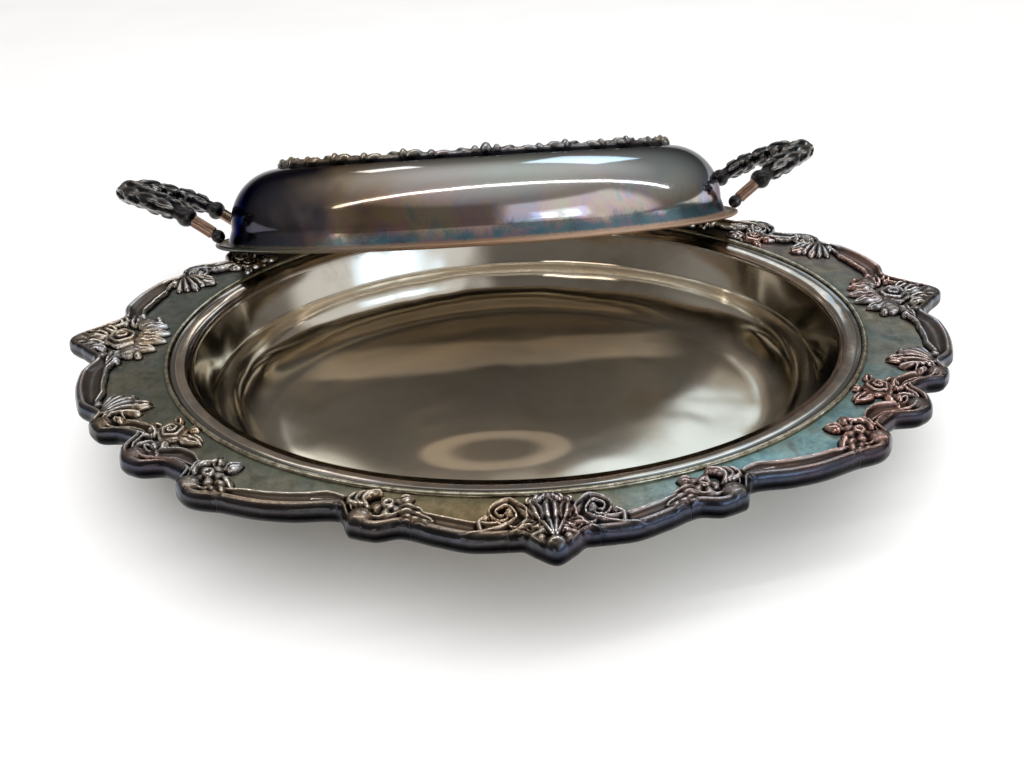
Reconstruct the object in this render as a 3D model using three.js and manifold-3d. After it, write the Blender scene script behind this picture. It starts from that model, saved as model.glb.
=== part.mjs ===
// Oval covered serving dish: a deep oval dish with a cast border, and its loose domed cover.
// Millimetres, +Z up. The origin is the middle of the dish's flat base.
// The cover stands as it is laid down when the dish is served from: its front rim
// rests on the dish's back border and its back rim on the table.

import * as THREE from "three";
import { mergeVertices } from "three/addons/utils/BufferGeometryUtils.js";
import Module from "manifold-3d";

const wasm = await Module();
wasm.setup();

// ---- driving dimensions of the dish ----
const wellHalfLength = 205; // middle of the bead to the centre, along X
const wellHalfWidth = 158; // the same, along Y
const dishHeight = 60; // top of the flat border above the table
const sheet = 1.4; // rolled sheet of the dish
const beadWidth = 3.4;
const beadHeight = 1.8;
const grooveWidth = 2.6; // flat groove just inside the bead
const grooveDepth = 0.6;
const ledgeWidth = 9; // rounded step inside the groove
const ledgeDrop = 5;
const wallLean = 9; // how far the well wall leans in before its bottom curve
const bottomCurve = 32; // radius between wall and floor
const castGap = 0.4; // clearance between neighbouring castings
const castDrop = 5; // how far the casting reaches below the border's top
const mouldingHeight = 5.5;
const sprayHeight = 8;
const rimHide = 6; // how far the sheet stays inside the casting's outer edge

// ---- driving dimensions of the cover ----
const coverHalfLength = 204; // outer edge of the rim, along its own X
const coverHalfWidth = 156;
const domeHeight = 54; // rim's underside to the flat top
const coverSheet = 1.1;
const rimFlange = 8; // flat rim outside the dome's wall
const domeShoulder = 42; // radius of the shoulder between wall and top
const domeLean = 5; // how far the dome's wall leans in below the shoulder
const topBorderInset = 1; // from where the shoulder meets the flat top to the border's middle
const topBorderHeight = 8;
const topBorderWidth = 7;
const cartoucheWiden = 1.3; // the top border's cartouches are this much wider
const rimRollWidth = 3; // the rim's edge is rolled over into a bead
const rimRollHeight = 3;
const handleReach = 64; // from the rim's end to the handle's tip
const handleRise = 44; // height of the handle's tip above the rim
const handleSpread = 41; // half the distance between a handle's legs
const handleThick = 9; // half thickness of the cast bow
const legThick = 5; // half thickness of the smooth legs
const footInset = 1; // how far each leg's ball stands in from the rim's edge

// ---- how the cover is laid down ----
const coverTurn = THREE.MathUtils.degToRad(2.6);
const coverSide = -15;
const tableGap = 0.3; // between the back rim and the table
const coverFrontY = 27; // how far behind the dish's middle the front rim hangs
const restGap = 0.8; // between the dish's castings and the cover that leans on them

const materials = {
  dish: { color: 0x8f8672, roughness: 0.16, metalness: 1 },
  bead: { color: 0xb9ae96, roughness: 0.14, metalness: 1 },
  casting: { color: 0x5b5148, roughness: 0.42, metalness: 1 },
  cover: { color: 0x6f7472, roughness: 0.18, metalness: 1 },
  handle: { color: 0x4a4642, roughness: 0.4, metalness: 1 },
};

const rad = THREE.MathUtils.degToRad;
const lerp = THREE.MathUtils.lerp;

function meshOf(name, geometry, finish) {
  const mesh = new THREE.Mesh(geometry, new THREE.MeshStandardMaterial(materials[finish]));
  mesh.name = name;
  return mesh;
}

// A closed body through rings of points: each ring is joined to the next.
// With closed true the last ring meets the first, else both end rings are filled flat.
function loft(rings, closed) {
  const positions = rings.flat().flatMap((p) => [p.x, p.y, p.z]);
  const n = rings[0].length;
  const index = [];
  const spans = closed ? rings.length : rings.length - 1;
  for (let i = 0; i < spans; i++) {
    const next = (i + 1) % rings.length;
    for (let j = 0; j < n; j++) {
      const k = (j + 1) % n;
      index.push(i * n + j, i * n + k, next * n + k);
      index.push(i * n + j, next * n + k, next * n + j);
    }
  }
  if (!closed) {
    const last = (rings.length - 1) * n;
    for (const [start, flip] of [[0, true], [last, false]]) {
      const flat = flatOutline(rings[start / n]);
      for (const [p, q, r] of THREE.ShapeUtils.triangulateShape(flat, [])) {
        index.push(start + p, start + (flip ? r : q), start + (flip ? q : r));
      }
    }
  }
  const geometry = new THREE.BufferGeometry();
  geometry.setAttribute("position", new THREE.Float32BufferAttribute(positions, 3));
  geometry.setIndex(index);
  return facingOut(geometry);
}

// The ring's points in its own plane, turned the way the ring runs.
function flatOutline(ring) {
  const centre = ring.reduce((s, p) => s.add(p), new THREE.Vector3()).divideScalar(ring.length);
  const normal = new THREE.Vector3();
  ring.forEach((p, i) => {
    const next = ring[(i + 1) % ring.length];
    normal.add(p.clone().sub(centre).cross(next.clone().sub(centre)));
  });
  normal.normalize();
  const side = ring[0].clone().sub(centre).projectOnPlane(normal).normalize();
  const up = normal.clone().cross(side);
  return ring.map((p) => {
    const local = p.clone().sub(centre);
    return new THREE.Vector2(local.dot(side), local.dot(up));
  });
}

function signedVolume(geometry) {
  const p = geometry.getAttribute("position");
  const a = new THREE.Vector3();
  const b = new THREE.Vector3();
  const c = new THREE.Vector3();
  let total = 0;
  for (let i = 0; i < geometry.index.count; i += 3) {
    a.fromBufferAttribute(p, geometry.index.getX(i));
    b.fromBufferAttribute(p, geometry.index.getX(i + 1));
    c.fromBufferAttribute(p, geometry.index.getX(i + 2));
    total += a.dot(b.cross(c));
  }
  return total;
}

function facingOut(geometry) {
  if (signedVolume(geometry) < 0) {
    const index = geometry.index;
    for (let i = 0; i < index.count; i += 3) {
      const keep = index.getX(i);
      index.setX(i, index.getX(i + 1));
      index.setX(i + 1, keep);
    }
  }
  geometry.computeVertexNormals();
  return geometry;
}

function solidOf(geometry) {
  const bare = geometry.clone();
  bare.deleteAttribute("normal");
  bare.deleteAttribute("uv");
  const merged = mergeVertices(bare, 1e-3);
  return new wasm.Manifold(
    new wasm.Mesh({
      numProp: 3,
      vertProperties: merged.attributes.position.array,
      triVerts: new Uint32Array(merged.index.array),
    }),
  );
}

function joined(geometries) {
  const solid = geometries.map(solidOf).reduce((sum, next) => sum.add(next));
  const mesh = solid.getMesh();
  const geometry = new THREE.BufferGeometry();
  geometry.setAttribute("position", new THREE.BufferAttribute(mesh.vertProperties, 3));
  geometry.setIndex(new THREE.BufferAttribute(mesh.triVerts, 1));
  geometry.computeVertexNormals();
  return geometry;
}

// ---- ovals ----

// A point beside an oval: at the oval's own angle, moved outward by an offset.
function besideOval(halfLength, halfWidth, angle, offset, z) {
  const x = halfLength * Math.cos(angle);
  const y = halfWidth * Math.sin(angle);
  const normal = new THREE.Vector2(halfWidth * Math.cos(angle), halfLength * Math.sin(angle)).normalize();
  return new THREE.Vector3(x + normal.x * offset, y + normal.y * offset, z);
}

const ovalSteps = 64;
const evenAngles = Array.from({ length: ovalSteps }, (_, i) => (2 * Math.PI * i) / ovalSteps);

// A body of revolution's oval cousin: a closed profile of [offset, height] carried round an oval.
function ovalSweep(halfLength, halfWidth, profile) {
  const rings = evenAngles.map((angle) =>
    profile.map(([offset, z]) => besideOval(halfLength, halfWidth, angle, offset, z)),
  );
  return loft(rings, true);
}

// An open bowl or dome: rings from the edge along one side to the middle, and back along the other.
// Each side is a list of [offset, height]; both end in a flat filled middle.
function ovalShell(halfLength, halfWidth, upper, lower, angles, edgeOf) {
  const ring = ([offset, z], isEdge) =>
    angles.map((angle) => besideOval(halfLength, halfWidth, angle, isEdge ? edgeOf(angle) : offset, z));
  const rings = [];
  [...upper].reverse().forEach((p, i) => rings.push(ring(p, i === upper.length - 1)));
  lower.forEach((p, i) => rings.push(ring(p, i === 0)));
  return loft(rings, false);
}

// Quarter-round points between two heights, for walls and shoulders.
function quarter(fromOffset, fromZ, toOffset, toZ, steps, startsUpright) {
  const points = [];
  for (let i = 1; i <= steps; i++) {
    const t = (Math.PI / 2) * (i / steps);
    const across = startsUpright ? 1 - Math.cos(t) : Math.sin(t);
    const along = startsUpright ? Math.sin(t) : 1 - Math.cos(t);
    points.push([lerp(fromOffset, toOffset, across), lerp(fromZ, toZ, along)]);
  }
  return points;
}

// ---- the scalloped outline of the dish's border ----

// One quadrant, from the middle of the long side to the middle of the end:
// [angle on the bead oval in degrees, how far the edge stands outside the bead].
const outlineKeys = [
  [90, 39.5], [88, 35], [86.5, 31], [81.8, 31.5], [77.5, 28.5], [73.6, 25.5],
  [70.6, 29], [68, 28.5], [65.8, 20.5], [60.2, 26.5], [56.5, 30], [51.9, 33],
  [47.5, 37.5], [45.2, 35.5], [44, 28.5], [40.9, 29.5], [37.6, 38.5], [35.4, 40.5],
  [33.2, 37.5], [31.8, 29.5], [29.3, 33], [27, 41.5], [24.7, 43], [23, 39.5],
  [18.9, 45.5], [14.2, 46.5], [10.4, 45.5], [6.8, 40], [3.4, 49], [0, 61],
];
const edgeTable = outlineKeys.map(([degrees, offset]) => [rad(degrees), offset]).reverse();

// How far the border's edge stands outside the bead at an angle; the four quadrants mirror.
function edgeOffset(angle) {
  const folded = Math.acos(Math.min(1, Math.abs(Math.cos(angle))));
  const i = edgeTable.findIndex(([a]) => a >= folded - 1e-9);
  if (i <= 0) return edgeTable[0][1];
  const [a0, d0] = edgeTable[i - 1];
  const [a1, d1] = edgeTable[i];
  return lerp(d0, d1, (folded - a0) / (a1 - a0));
}

// The angles at which the border's edge has a key, right round the oval.
const keyAngles = edgeTable.map(([angle]) => angle);
const halfAngles = [...keyAngles, ...[...keyAngles].reverse().slice(1).map((a) => Math.PI - a)];
const borderAngles = [...halfAngles, ...halfAngles.slice(1, -1).map((a) => a + Math.PI)];

// ---- dish ----

const dishGroup = new THREE.Group();
const borderTop = dishHeight;
const outerWallTop = borderTop - ledgeDrop;

function dishShell() {
  const beadIn = -beadWidth / 2;
  const grooveIn = beadIn - grooveWidth;
  const ledgeIn = grooveIn - ledgeWidth;
  const wallIn = ledgeIn - wallLean;
  const floorIn = wallIn - bottomCurve;
  const curveTop = sheet + bottomCurve;
  const inside = [
    [0, borderTop],
    [beadIn, borderTop],
    [grooveIn, borderTop - 0.6],
    ...quarter(grooveIn, borderTop - grooveDepth, ledgeIn, outerWallTop, 2, false),
    [wallIn, curveTop],
    ...quarter(wallIn, curveTop, floorIn, sheet, 4, true),
  ];
  const outside = [
    [ledgeIn + sheet, borderTop - sheet],
    [ledgeIn + sheet, outerWallTop],
    [wallIn + sheet, curveTop],
    ...quarter(wallIn + sheet, curveTop, floorIn, 0, 4, true),
  ];
  const upper = [[0, borderTop], ...inside];
  const lower = [[0, borderTop - sheet], ...outside];
  const edgeOf = (angle) => edgeOffset(angle) - rimHide;
  return ovalShell(wellHalfLength, wellHalfWidth, upper, lower, borderAngles, edgeOf);
}

function dishBead() {
  const profile = [];
  for (let i = 0; i <= 4; i++) {
    const t = (Math.PI * i) / 4;
    const z = borderTop + castGap + beadHeight * Math.sin(t);
    profile.push([(beadWidth / 2) * Math.cos(t), z]);
  }
  return ovalSweep(wellHalfLength, wellHalfWidth, profile);
}

dishGroup.add(meshOf("dish_shell", dishShell(), "dish"));
dishGroup.add(meshOf("well_bead", dishBead(), "bead"));

// The castings sit over the sheet's edge like a hood. Each is one stretch of the border:
// [name, first and last angle in degrees, width inward at its ends and middle, height].
const castings = [
  ["shoulder_moulding", 85.2, 74.6, 8, 7, mouldingHeight],
  ["inner_spray", 74.6, 65.6, 12, 24, sprayHeight],
  ["long_moulding", 65.6, 51.4, 8, 7, mouldingHeight],
  ["outer_spray", 51.4, 43.8, 12, 25, sprayHeight],
  ["corner_scroll", 43.8, 32, 8, 9, mouldingHeight],
  ["side_scroll", 32, 24.6, 8, 9, mouldingHeight],
  ["shell_spray", 24.6, 18.6, 12, 24, sprayHeight],
  ["end_moulding", 18.6, 6.6, 8, 7, mouldingHeight],
];

const meanRadius = (wellHalfLength + wellHalfWidth) / 2;
const gapAngle = castGap / meanRadius;

// The hood's section at one angle, as points round the sheet's edge.
function hoodSection(angle, width, height) {
  const edge = edgeOffset(angle);
  const inner = edge - width;
  const under = borderTop + castGap;
  const bottom = borderTop - castDrop;
  const lip = edge - rimHide + castGap;
  const top = borderTop + height;
  const section = [
    [inner, under],
    [inner + width * 0.2, lerp(under, top, 0.75)],
    [inner + width * 0.5, top],
    [edge - width * 0.12, lerp(under, top, 0.7)],
    [edge, borderTop - 1],
    [edge - 1.5, bottom],
    [lip, bottom],
    [lip, under],
  ];
  return section.map(([o, z]) => besideOval(wellHalfLength, wellHalfWidth, angle, o, z));
}

// The same key angles from half a turn past the left end back round to it, for stretches
// that straddle an axis.
const stretchAngles = [...borderAngles, ...borderAngles.map((a) => a - 2 * Math.PI)].sort((a, b) => b - a);

function hood(fromDegrees, toDegrees, endWidth, midWidth, height) {
  const from = rad(fromDegrees) - gapAngle;
  const to = rad(toDegrees) + gapAngle;
  const between = stretchAngles.filter((angle) => angle < from - gapAngle && angle > to + gapAngle);
  const rings = [from, ...between, to].map((angle) => {
    const swell = Math.sin((Math.PI * (angle - from)) / (to - from));
    const rise = lerp(mouldingHeight * 0.8, height, swell);
    return hoodSection(angle, lerp(endWidth, midWidth, swell), rise);
  });
  return loft(rings, false);
}

const quadrants = [
  ["front_right", 1, -1],
  ["front_left", -1, -1],
  ["back_right", 1, 1],
  ["back_left", -1, 1],
];

// A copy of a casting turned into another quadrant; its faces are set out again.
function mirrored(geometry, signX, signY) {
  const copy = geometry.clone();
  copy.scale(signX, signY, 1);
  return facingOut(copy);
}

// A small cast rose on the flat border, just inside the scrolls.
const roseAngle = rad(34.2);
const roseOffset = 11.5;
const roseRadius = 9;
const roseHeight = 7;

function rose() {
  const profile = [
    [0, 0], [roseRadius, 0], [roseRadius * 0.9, roseHeight * 0.5],
    [roseRadius * 0.45, roseHeight * 0.95], [0, roseHeight],
  ];
  const geometry = new THREE.LatheGeometry(profile.map(([r, z]) => new THREE.Vector2(r, z)), 14);
  geometry.rotateX(Math.PI / 2);
  const place = besideOval(wellHalfLength, wellHalfWidth, roseAngle, roseOffset, borderTop + castGap);
  geometry.translate(place.x, place.y, place.z);
  const bare = geometry.clone();
  bare.deleteAttribute("normal");
  bare.deleteAttribute("uv");
  return facingOut(mergeVertices(bare, 1e-3));
}

for (const [name, from, to, endWidth, midWidth, height] of castings) {
  const geometry = hood(from, to, endWidth, midWidth, height);
  for (const [place, signX, signY] of quadrants) {
    dishGroup.add(meshOf(`${place}_${name}`, mirrored(geometry, signX, signY), "casting"));
  }
}
for (const [place, signX, signY] of quadrants) {
  dishGroup.add(meshOf(`${place}_rose`, mirrored(rose(), signX, signY), "casting"));
}

// The middle castings straddle an axis of the oval.
const middleCastings = [
  ["back_cartouche", 94.8, 85.2, 14, 33, sprayHeight],
  ["front_cartouche", -85.2, -94.8, 14, 33, sprayHeight],
  ["right_end_spray", 6.6, -6.6, 12, 55, sprayHeight],
  ["left_end_spray", 186.6, 173.4, 12, 55, sprayHeight],
];
for (const [name, from, to, endWidth, midWidth, height] of middleCastings) {
  dishGroup.add(meshOf(name, hood(from, to, endWidth, midWidth, height), "casting"));
}

// ---- cover, in its own frame: rim plane at z 0, dome up ----

const coverGroup = new THREE.Group();
const domeIn = -rimFlange;
const flatTopIn = domeIn - domeLean - domeShoulder;
const topBorderHalfLength = coverHalfLength + flatTopIn - topBorderInset;
const topBorderHalfWidth = coverHalfWidth + flatTopIn - topBorderInset;

function coverShell() {
  const wallTop = domeHeight - domeShoulder;
  const wallIn = domeIn - domeLean;
  const dome = [
    [domeIn - 1, coverSheet + 1],
    [wallIn, wallTop],
    ...quarter(wallIn, wallTop, flatTopIn, domeHeight, 5, true),
  ];
  const outside = [
    [0, rimRollHeight * 0.7],
    [-rimRollWidth / 2, rimRollHeight],
    [-rimRollWidth, coverSheet],
    [domeIn, coverSheet],
    ...dome,
  ];
  const inside = [
    [0, rimRollHeight * 0.3],
    [-rimRollWidth / 2, 0],
    [domeIn - 0.5, 0],
    ...dome.map(([offset, z], i) => {
      const level = i / (dome.length - 1);
      return [offset - coverSheet * (1 - level), z - coverSheet * level];
    }),
  ];
  return ovalShell(coverHalfLength, coverHalfWidth, outside, inside, evenAngles, () => 0);
}

coverGroup.add(meshOf("cover_shell", coverShell(), "cover"));

// The small cast border on the cover's flat top, in mouldings and raised sprays.
const topCastings = [
  ["top_back_cartouche", 97, 83, 1],
  ["top_right_back_moulding", 83, 9, 0.72],
  ["top_right_cartouche", 9, -9, 1],
  ["top_right_front_moulding", -9, -83, 0.72],
  ["top_front_cartouche", -83, -97, 1],
  ["top_left_front_moulding", -97, -171, 0.72],
  ["top_left_cartouche", 189, 171, 1],
  ["top_left_back_moulding", 171, 97, 0.72],
];

function topCasting(fromDegrees, toDegrees, share) {
  const from = rad(fromDegrees) - castGap / topBorderHalfWidth;
  const to = rad(toDegrees) + castGap / topBorderHalfWidth;
  const steps = Math.max(3, Math.round(Math.abs(fromDegrees - toDegrees) / 6));
  const base = domeHeight + castGap;
  const top = domeHeight + topBorderHeight * share;
  const half = (topBorderWidth / 2) * (share === 1 ? cartoucheWiden : 1);
  const shoulder = lerp(base, top, 0.7);
  const section = [[-half, base], [-half * 0.7, shoulder], [0, top], [half * 0.7, shoulder], [half, base]];
  const rings = [];
  for (let i = 0; i <= steps; i++) {
    const angle = lerp(from, to, i / steps);
    rings.push(section.map(([o, z]) => besideOval(topBorderHalfLength, topBorderHalfWidth, angle, o, z)));
  }
  return loft(rings, false);
}

for (const [name, from, to, share] of topCastings) {
  coverGroup.add(meshOf(name, topCasting(from, to, share), "casting"));
}

// ---- handles ----

// The ball at the end of each leg stands on the rim, beside the dome's wall.
const ballShare = 1.1; // the balls are a little thicker than the legs
const footRadius = legThick * ballShare;
const footAngle = Math.asin(handleSpread / coverHalfWidth);
const footX = coverHalfLength * Math.cos(footAngle) - footInset;
const footZ = rimRollHeight + castGap + footRadius;

function handleFoot(sign, signY) {
  const geometry = new THREE.SphereGeometry(footRadius, 10, 8);
  geometry.translate(sign * footX, signY * handleSpread, footZ);
  return geometry;
}

// One end's bow: it leaves the two balls, rises outward and closes in a round end.
function handleBow(sign) {
  const tipX = coverHalfLength + handleReach - handleThick;
  const along = (share) => lerp(footX, tipX, share);
  const up = (share) => lerp(footZ, handleRise, share);
  const side = [
    [along(0), handleSpread, up(0)],
    [along(0.18), handleSpread + 1, up(0.28)],
    [along(0.42), handleSpread, up(0.58)],
    [along(0.7), handleSpread * 0.86, up(0.82)],
    [along(0.92), handleSpread * 0.5, up(0.96)],
    [along(1), 0, up(1)],
  ].map(([x, y, z]) => new THREE.Vector3(x, y, z));
  const other = [...side].reverse().slice(1).map((p) => new THREE.Vector3(p.x, -p.y, p.z));
  const path = new THREE.CatmullRomCurve3([...side, ...other]);
  const steps = 24;
  const sides = 8;
  const frames = path.computeFrenetFrames(steps, false);
  const rings = [];
  for (let i = 0; i <= steps; i++) {
    const centre = path.getPointAt(i / steps);
    const swell = Math.min(1, Math.max(0, Math.sin((Math.PI * i) / steps) * 1.9 - 0.45));
    const thick = lerp(legThick * 0.8, handleThick, swell);
    const ring = [];
    for (let j = 0; j < sides; j++) {
      const turn = (2 * Math.PI * j) / sides;
      const out = frames.normals[i].clone().multiplyScalar(Math.cos(turn) * thick);
      out.addScaledVector(frames.binormals[i], Math.sin(turn) * thick);
      ring.push(centre.clone().add(out));
    }
    rings.push(ring);
  }
  const bow = loft(rings, false);
  bow.scale(sign, 1, 1);
  return facingOut(bow);
}

for (const [place, sign] of [["right", 1], ["left", -1]]) {
  const bow = joined([handleBow(sign), handleFoot(sign, 1), handleFoot(sign, -1)]);
  coverGroup.add(meshOf(`${place}_handle`, bow, "handle"));
}

// The cover is turned, tilted back and set down on the table behind the dish.
const tilted = new THREE.Group();
tilted.add(coverGroup);
const laid = new THREE.Group();
laid.rotation.z = coverTurn;
laid.add(tilted);

function layCover(tilt) {
  tilted.rotation.x = -tilt;
  const centreHeight = tableGap + coverHalfWidth * Math.sin(tilt);
  laid.position.set(coverSide, coverFrontY + coverHalfWidth * Math.cos(tilt), centreHeight);
  laid.updateMatrixWorld(true);
}

// How far a place in the cover's own plan lies outside its rim; inside is below zero.
function outsideRim(x, y) {
  let angle = Math.atan2(y / coverHalfWidth, x / coverHalfLength);
  let offset = 0;
  for (let i = 0; i < 4; i++) {
    const base = new THREE.Vector2(coverHalfLength * Math.cos(angle), coverHalfWidth * Math.sin(angle));
    const along = new THREE.Vector2(-coverHalfLength * Math.sin(angle), coverHalfWidth * Math.cos(angle));
    const gap = new THREE.Vector2(x, y).sub(base);
    offset = (gap.x * along.y - gap.y * along.x) / along.length();
    angle += gap.dot(along) / along.lengthSq();
  }
  return offset;
}

// Height of the cover's underside over its rim plane.
function underside(offset) {
  const wallTop = domeHeight - domeShoulder;
  const wallIn = domeIn - domeLean - coverSheet;
  if (offset > restGap) return Infinity;
  if (offset > domeIn - 0.5) return 0;
  if (offset > wallIn) return (wallTop * (offset - domeIn + 0.5)) / (wallIn - domeIn + 0.5);
  const across = Math.min(1, (wallIn - offset) / domeShoulder);
  return lerp(wallTop, domeHeight - coverSheet, Math.sqrt(1 - (1 - across) ** 2));
}

// The cover leans on the dish: the least tilt at which every point of the dish clears it.
function leaningTilt() {
  const points = [];
  dishGroup.updateMatrixWorld(true);
  for (const mesh of dishGroup.children) {
    const place = mesh.geometry.getAttribute("position");
    for (let i = 0; i < place.count; i++) {
      points.push(new THREE.Vector3().fromBufferAttribute(place, i).applyMatrix4(mesh.matrixWorld));
    }
  }
  const local = new THREE.Vector3();
  for (let degrees = 2; degrees < 80; degrees += 0.1) {
    layCover(rad(degrees));
    const back = tilted.matrixWorld.clone().invert();
    const touches = points.some((point) => {
      local.copy(point).applyMatrix4(back);
      return local.z > -restGap && local.z > underside(outsideRim(local.x, local.y)) - restGap;
    });
    if (!touches) return rad(degrees);
  }
  throw new Error("the cover can't lean on this dish");
}

const coverTilt = leaningTilt();
layCover(coverTilt);

const coveredDish = new THREE.Group();
coveredDish.add(dishGroup);
coveredDish.add(laid);

export default coveredDish;
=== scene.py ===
import functools
import math

import bpy
import numpy as np
from mathutils import Matrix, Vector


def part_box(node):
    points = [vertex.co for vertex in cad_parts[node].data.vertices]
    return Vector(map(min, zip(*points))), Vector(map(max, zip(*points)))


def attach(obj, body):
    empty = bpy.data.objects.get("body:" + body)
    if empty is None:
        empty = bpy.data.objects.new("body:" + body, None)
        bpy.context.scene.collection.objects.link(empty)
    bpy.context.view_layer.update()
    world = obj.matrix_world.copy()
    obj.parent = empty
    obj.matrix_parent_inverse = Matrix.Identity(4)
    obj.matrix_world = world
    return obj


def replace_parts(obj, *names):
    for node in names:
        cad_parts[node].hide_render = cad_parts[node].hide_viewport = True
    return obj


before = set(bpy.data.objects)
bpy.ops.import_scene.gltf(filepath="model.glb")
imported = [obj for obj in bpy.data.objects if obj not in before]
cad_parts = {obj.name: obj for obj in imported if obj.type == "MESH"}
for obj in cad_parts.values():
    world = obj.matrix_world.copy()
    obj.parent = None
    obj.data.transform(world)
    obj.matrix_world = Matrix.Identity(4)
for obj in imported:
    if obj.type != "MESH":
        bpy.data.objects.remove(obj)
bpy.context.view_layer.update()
mm = 0.001
print("frame loaded:", len(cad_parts), "nodes")


def vertexPlaces(mesh):
    points = np.empty(len(mesh.vertices) * 3)
    mesh.vertices.foreach_get("co", points)
    return points.reshape(-1, 3)


def cadPoints(node):
    return vertexPlaces(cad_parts[node].data)


def linked(name, data):
    holder = bpy.data.objects.new(name, data)
    bpy.context.scene.collection.objects.link(holder)
    return holder


def middleOf(node):
    points = cadPoints(node)
    return Vector((points.min(0) + points.max(0)) / 2)


def coverFrame():
    # the cover's own axes: its length, its width and the way its dome faces
    along = (middleOf("top_right_cartouche") - middleOf("top_left_cartouche")).normalized()
    across = (middleOf("top_back_cartouche") - middleOf("top_front_cartouche")).normalized()
    up = along.cross(across).normalized()
    across = up.cross(along)
    turn = Matrix((along, across, up)).transposed().to_4x4()
    points = cadPoints("cover_shell") @ np.array(turn.to_3x3())
    low, high = points.min(0), points.max(0)
    middle = Vector(((low[0] + high[0]) / 2, (low[1] + high[1]) / 2, low[2]))
    size = high - low
    return Matrix.Translation(turn @ middle) @ turn, Vector(size) / 2


coverPlace, coverHalf = coverFrame()
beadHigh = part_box("well_bead")[1]
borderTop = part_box("dish_shell")[1].z


view = {"lens": 27.39, "place": (-0.0299, -0.4149, 0.2925), "heading": 3.52, "down": 33.94, "roll": -1.54}


def addCamera():
    camera = bpy.data.cameras.new("servingView")
    camera.lens = view["lens"]
    camera.sensor_width = 36
    camera.clip_start = 0.01
    holder = linked("servingView", camera)
    heading, down, roll = (math.radians(view[k]) for k in ("heading", "down", "roll"))
    ahead = Vector((math.sin(heading) * math.cos(down), math.cos(heading) * math.cos(down), -math.sin(down)))
    right = ahead.cross(Vector((0, 0, 1))).normalized()
    up = right.cross(ahead)
    rightTilted = right * math.cos(roll) + up * math.sin(roll)
    upTilted = up * math.cos(roll) - right * math.sin(roll)
    turn = Matrix((rightTilted, upTilted, -ahead)).transposed().to_4x4()
    holder.matrix_world = Matrix.Translation(Vector(view["place"])) @ turn
    bpy.context.scene.camera = holder


addCamera()
print("camera set")


def addNode(tree, kind, settings=None, **inputs):
    # a node with its settings and inputs; i6 names input 6, a Wire or a socket is linked
    node = tree.nodes.new(kind)
    for key, value in (settings or {}).items():
        setattr(node, key, value)
    for key, value in inputs.items():
        slot = node.inputs[int(key[1:]) if key[0] == "i" and key[1:].isdigit() else key.replace("_", " ")]
        if isinstance(value, Wire):
            value = value.socket
        if isinstance(value, bpy.types.NodeSocket):
            tree.links.new(value, slot)
        else:
            slot.default_value = value
    return node


class Wire:
    # one socket of a shader tree; arithmetic on it adds Math nodes
    def __init__(self, tree, socket):
        self.tree = tree
        self.socket = socket

    def math(self, operation, *others, clamp=False):
        node = self.tree.nodes.new("ShaderNodeMath")
        node.operation = operation
        node.use_clamp = clamp
        for slot, value in zip(node.inputs, (self, *others)):
            if isinstance(value, Wire):
                self.tree.links.new(value.socket, slot)
            else:
                slot.default_value = value
        return Wire(self.tree, node.outputs[0])

    def lifted(self, value):
        if isinstance(value, Wire):
            return value
        node = self.tree.nodes.new("ShaderNodeValue")
        node.outputs[0].default_value = value
        return Wire(self.tree, node.outputs[0])

    def __add__(self, other):
        return self.math("ADD", other)

    __radd__ = __add__

    def __mul__(self, other):
        return self.math("MULTIPLY", other)

    __rmul__ = __mul__

    def __sub__(self, other):
        return self.math("SUBTRACT", other)

    def __rsub__(self, other):
        return self.lifted(other).math("SUBTRACT", self)

    def __truediv__(self, other):
        return self.math("DIVIDE", other)

    def between(self, low, high):
        # 0 below low, 1 above high, smooth between
        node = self.tree.nodes.new("ShaderNodeMapRange")
        node.interpolation_type = "SMOOTHSTEP"
        self.tree.links.new(self.socket, node.inputs["Value"])
        node.inputs["From Min"].default_value = low
        node.inputs["From Max"].default_value = high
        return Wire(self.tree, node.outputs[0])


def fillRamp(ramp, stops):
    while len(ramp.elements) < len(stops):
        ramp.elements.new(1)
    for element, (place, color) in zip(ramp.elements, stops):
        element.position = place
        element.color = (*color, 1)


class Finish:
    # a material with one Principled shader, built from small calls
    def __init__(self, name, **fixed):
        self.material = bpy.data.materials.new(name)
        self.material.use_nodes = True
        self.tree = self.material.node_tree
        self.shader = self.tree.nodes["Principled BSDF"]
        for socket, value in fixed.items():
            self.shader.inputs[socket.replace("_", " ")].default_value = value

    def add(self, kind, settings=None, output=0, **inputs):
        return Wire(self.tree, addNode(self.tree, "ShaderNode" + kind, settings, **inputs).outputs[output])

    def ramp(self, value, stops):
        made = addNode(self.tree, "ShaderNodeValToRGB", Fac=value)
        fillRamp(made.color_ramp, stops)
        return Wire(self.tree, made.outputs[0])

    def mix(self, share, first, second, blend="MIX"):
        settings = {"data_type": "RGBA", "blend_type": blend}
        first, second = (c if isinstance(c, Wire) else (*c, 1) for c in (first, second))
        return self.add("Mix", settings, output=2, i0=share, i6=first, i7=second)

    def times(self, first, second):
        return self.mix(1.0, first, second, "MULTIPLY")

    def noise(self, place, scale, detail=3.0, rough=0.55, warp=0.0):
        return self.add("TexNoise", Vector=place, Scale=scale, Detail=detail, Roughness=rough,
                        Distortion=warp)

    def objectPlace(self, scale=(1, 1, 1)):
        return self.add("Mapping", Vector=self.add("TexCoord", output=3), Scale=scale)

    def attribute(self, name):
        return self.add("Attribute", {"attribute_name": name}, output=2)

    def feed(self, socket, value):
        self.tree.links.new(value.socket, self.shader.inputs[socket])

    def bump(self, height, strength, distance):
        normal = self.add("Bump", Height=height, Strength=strength, Distance=distance)
        self.feed("Normal", normal)


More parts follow.
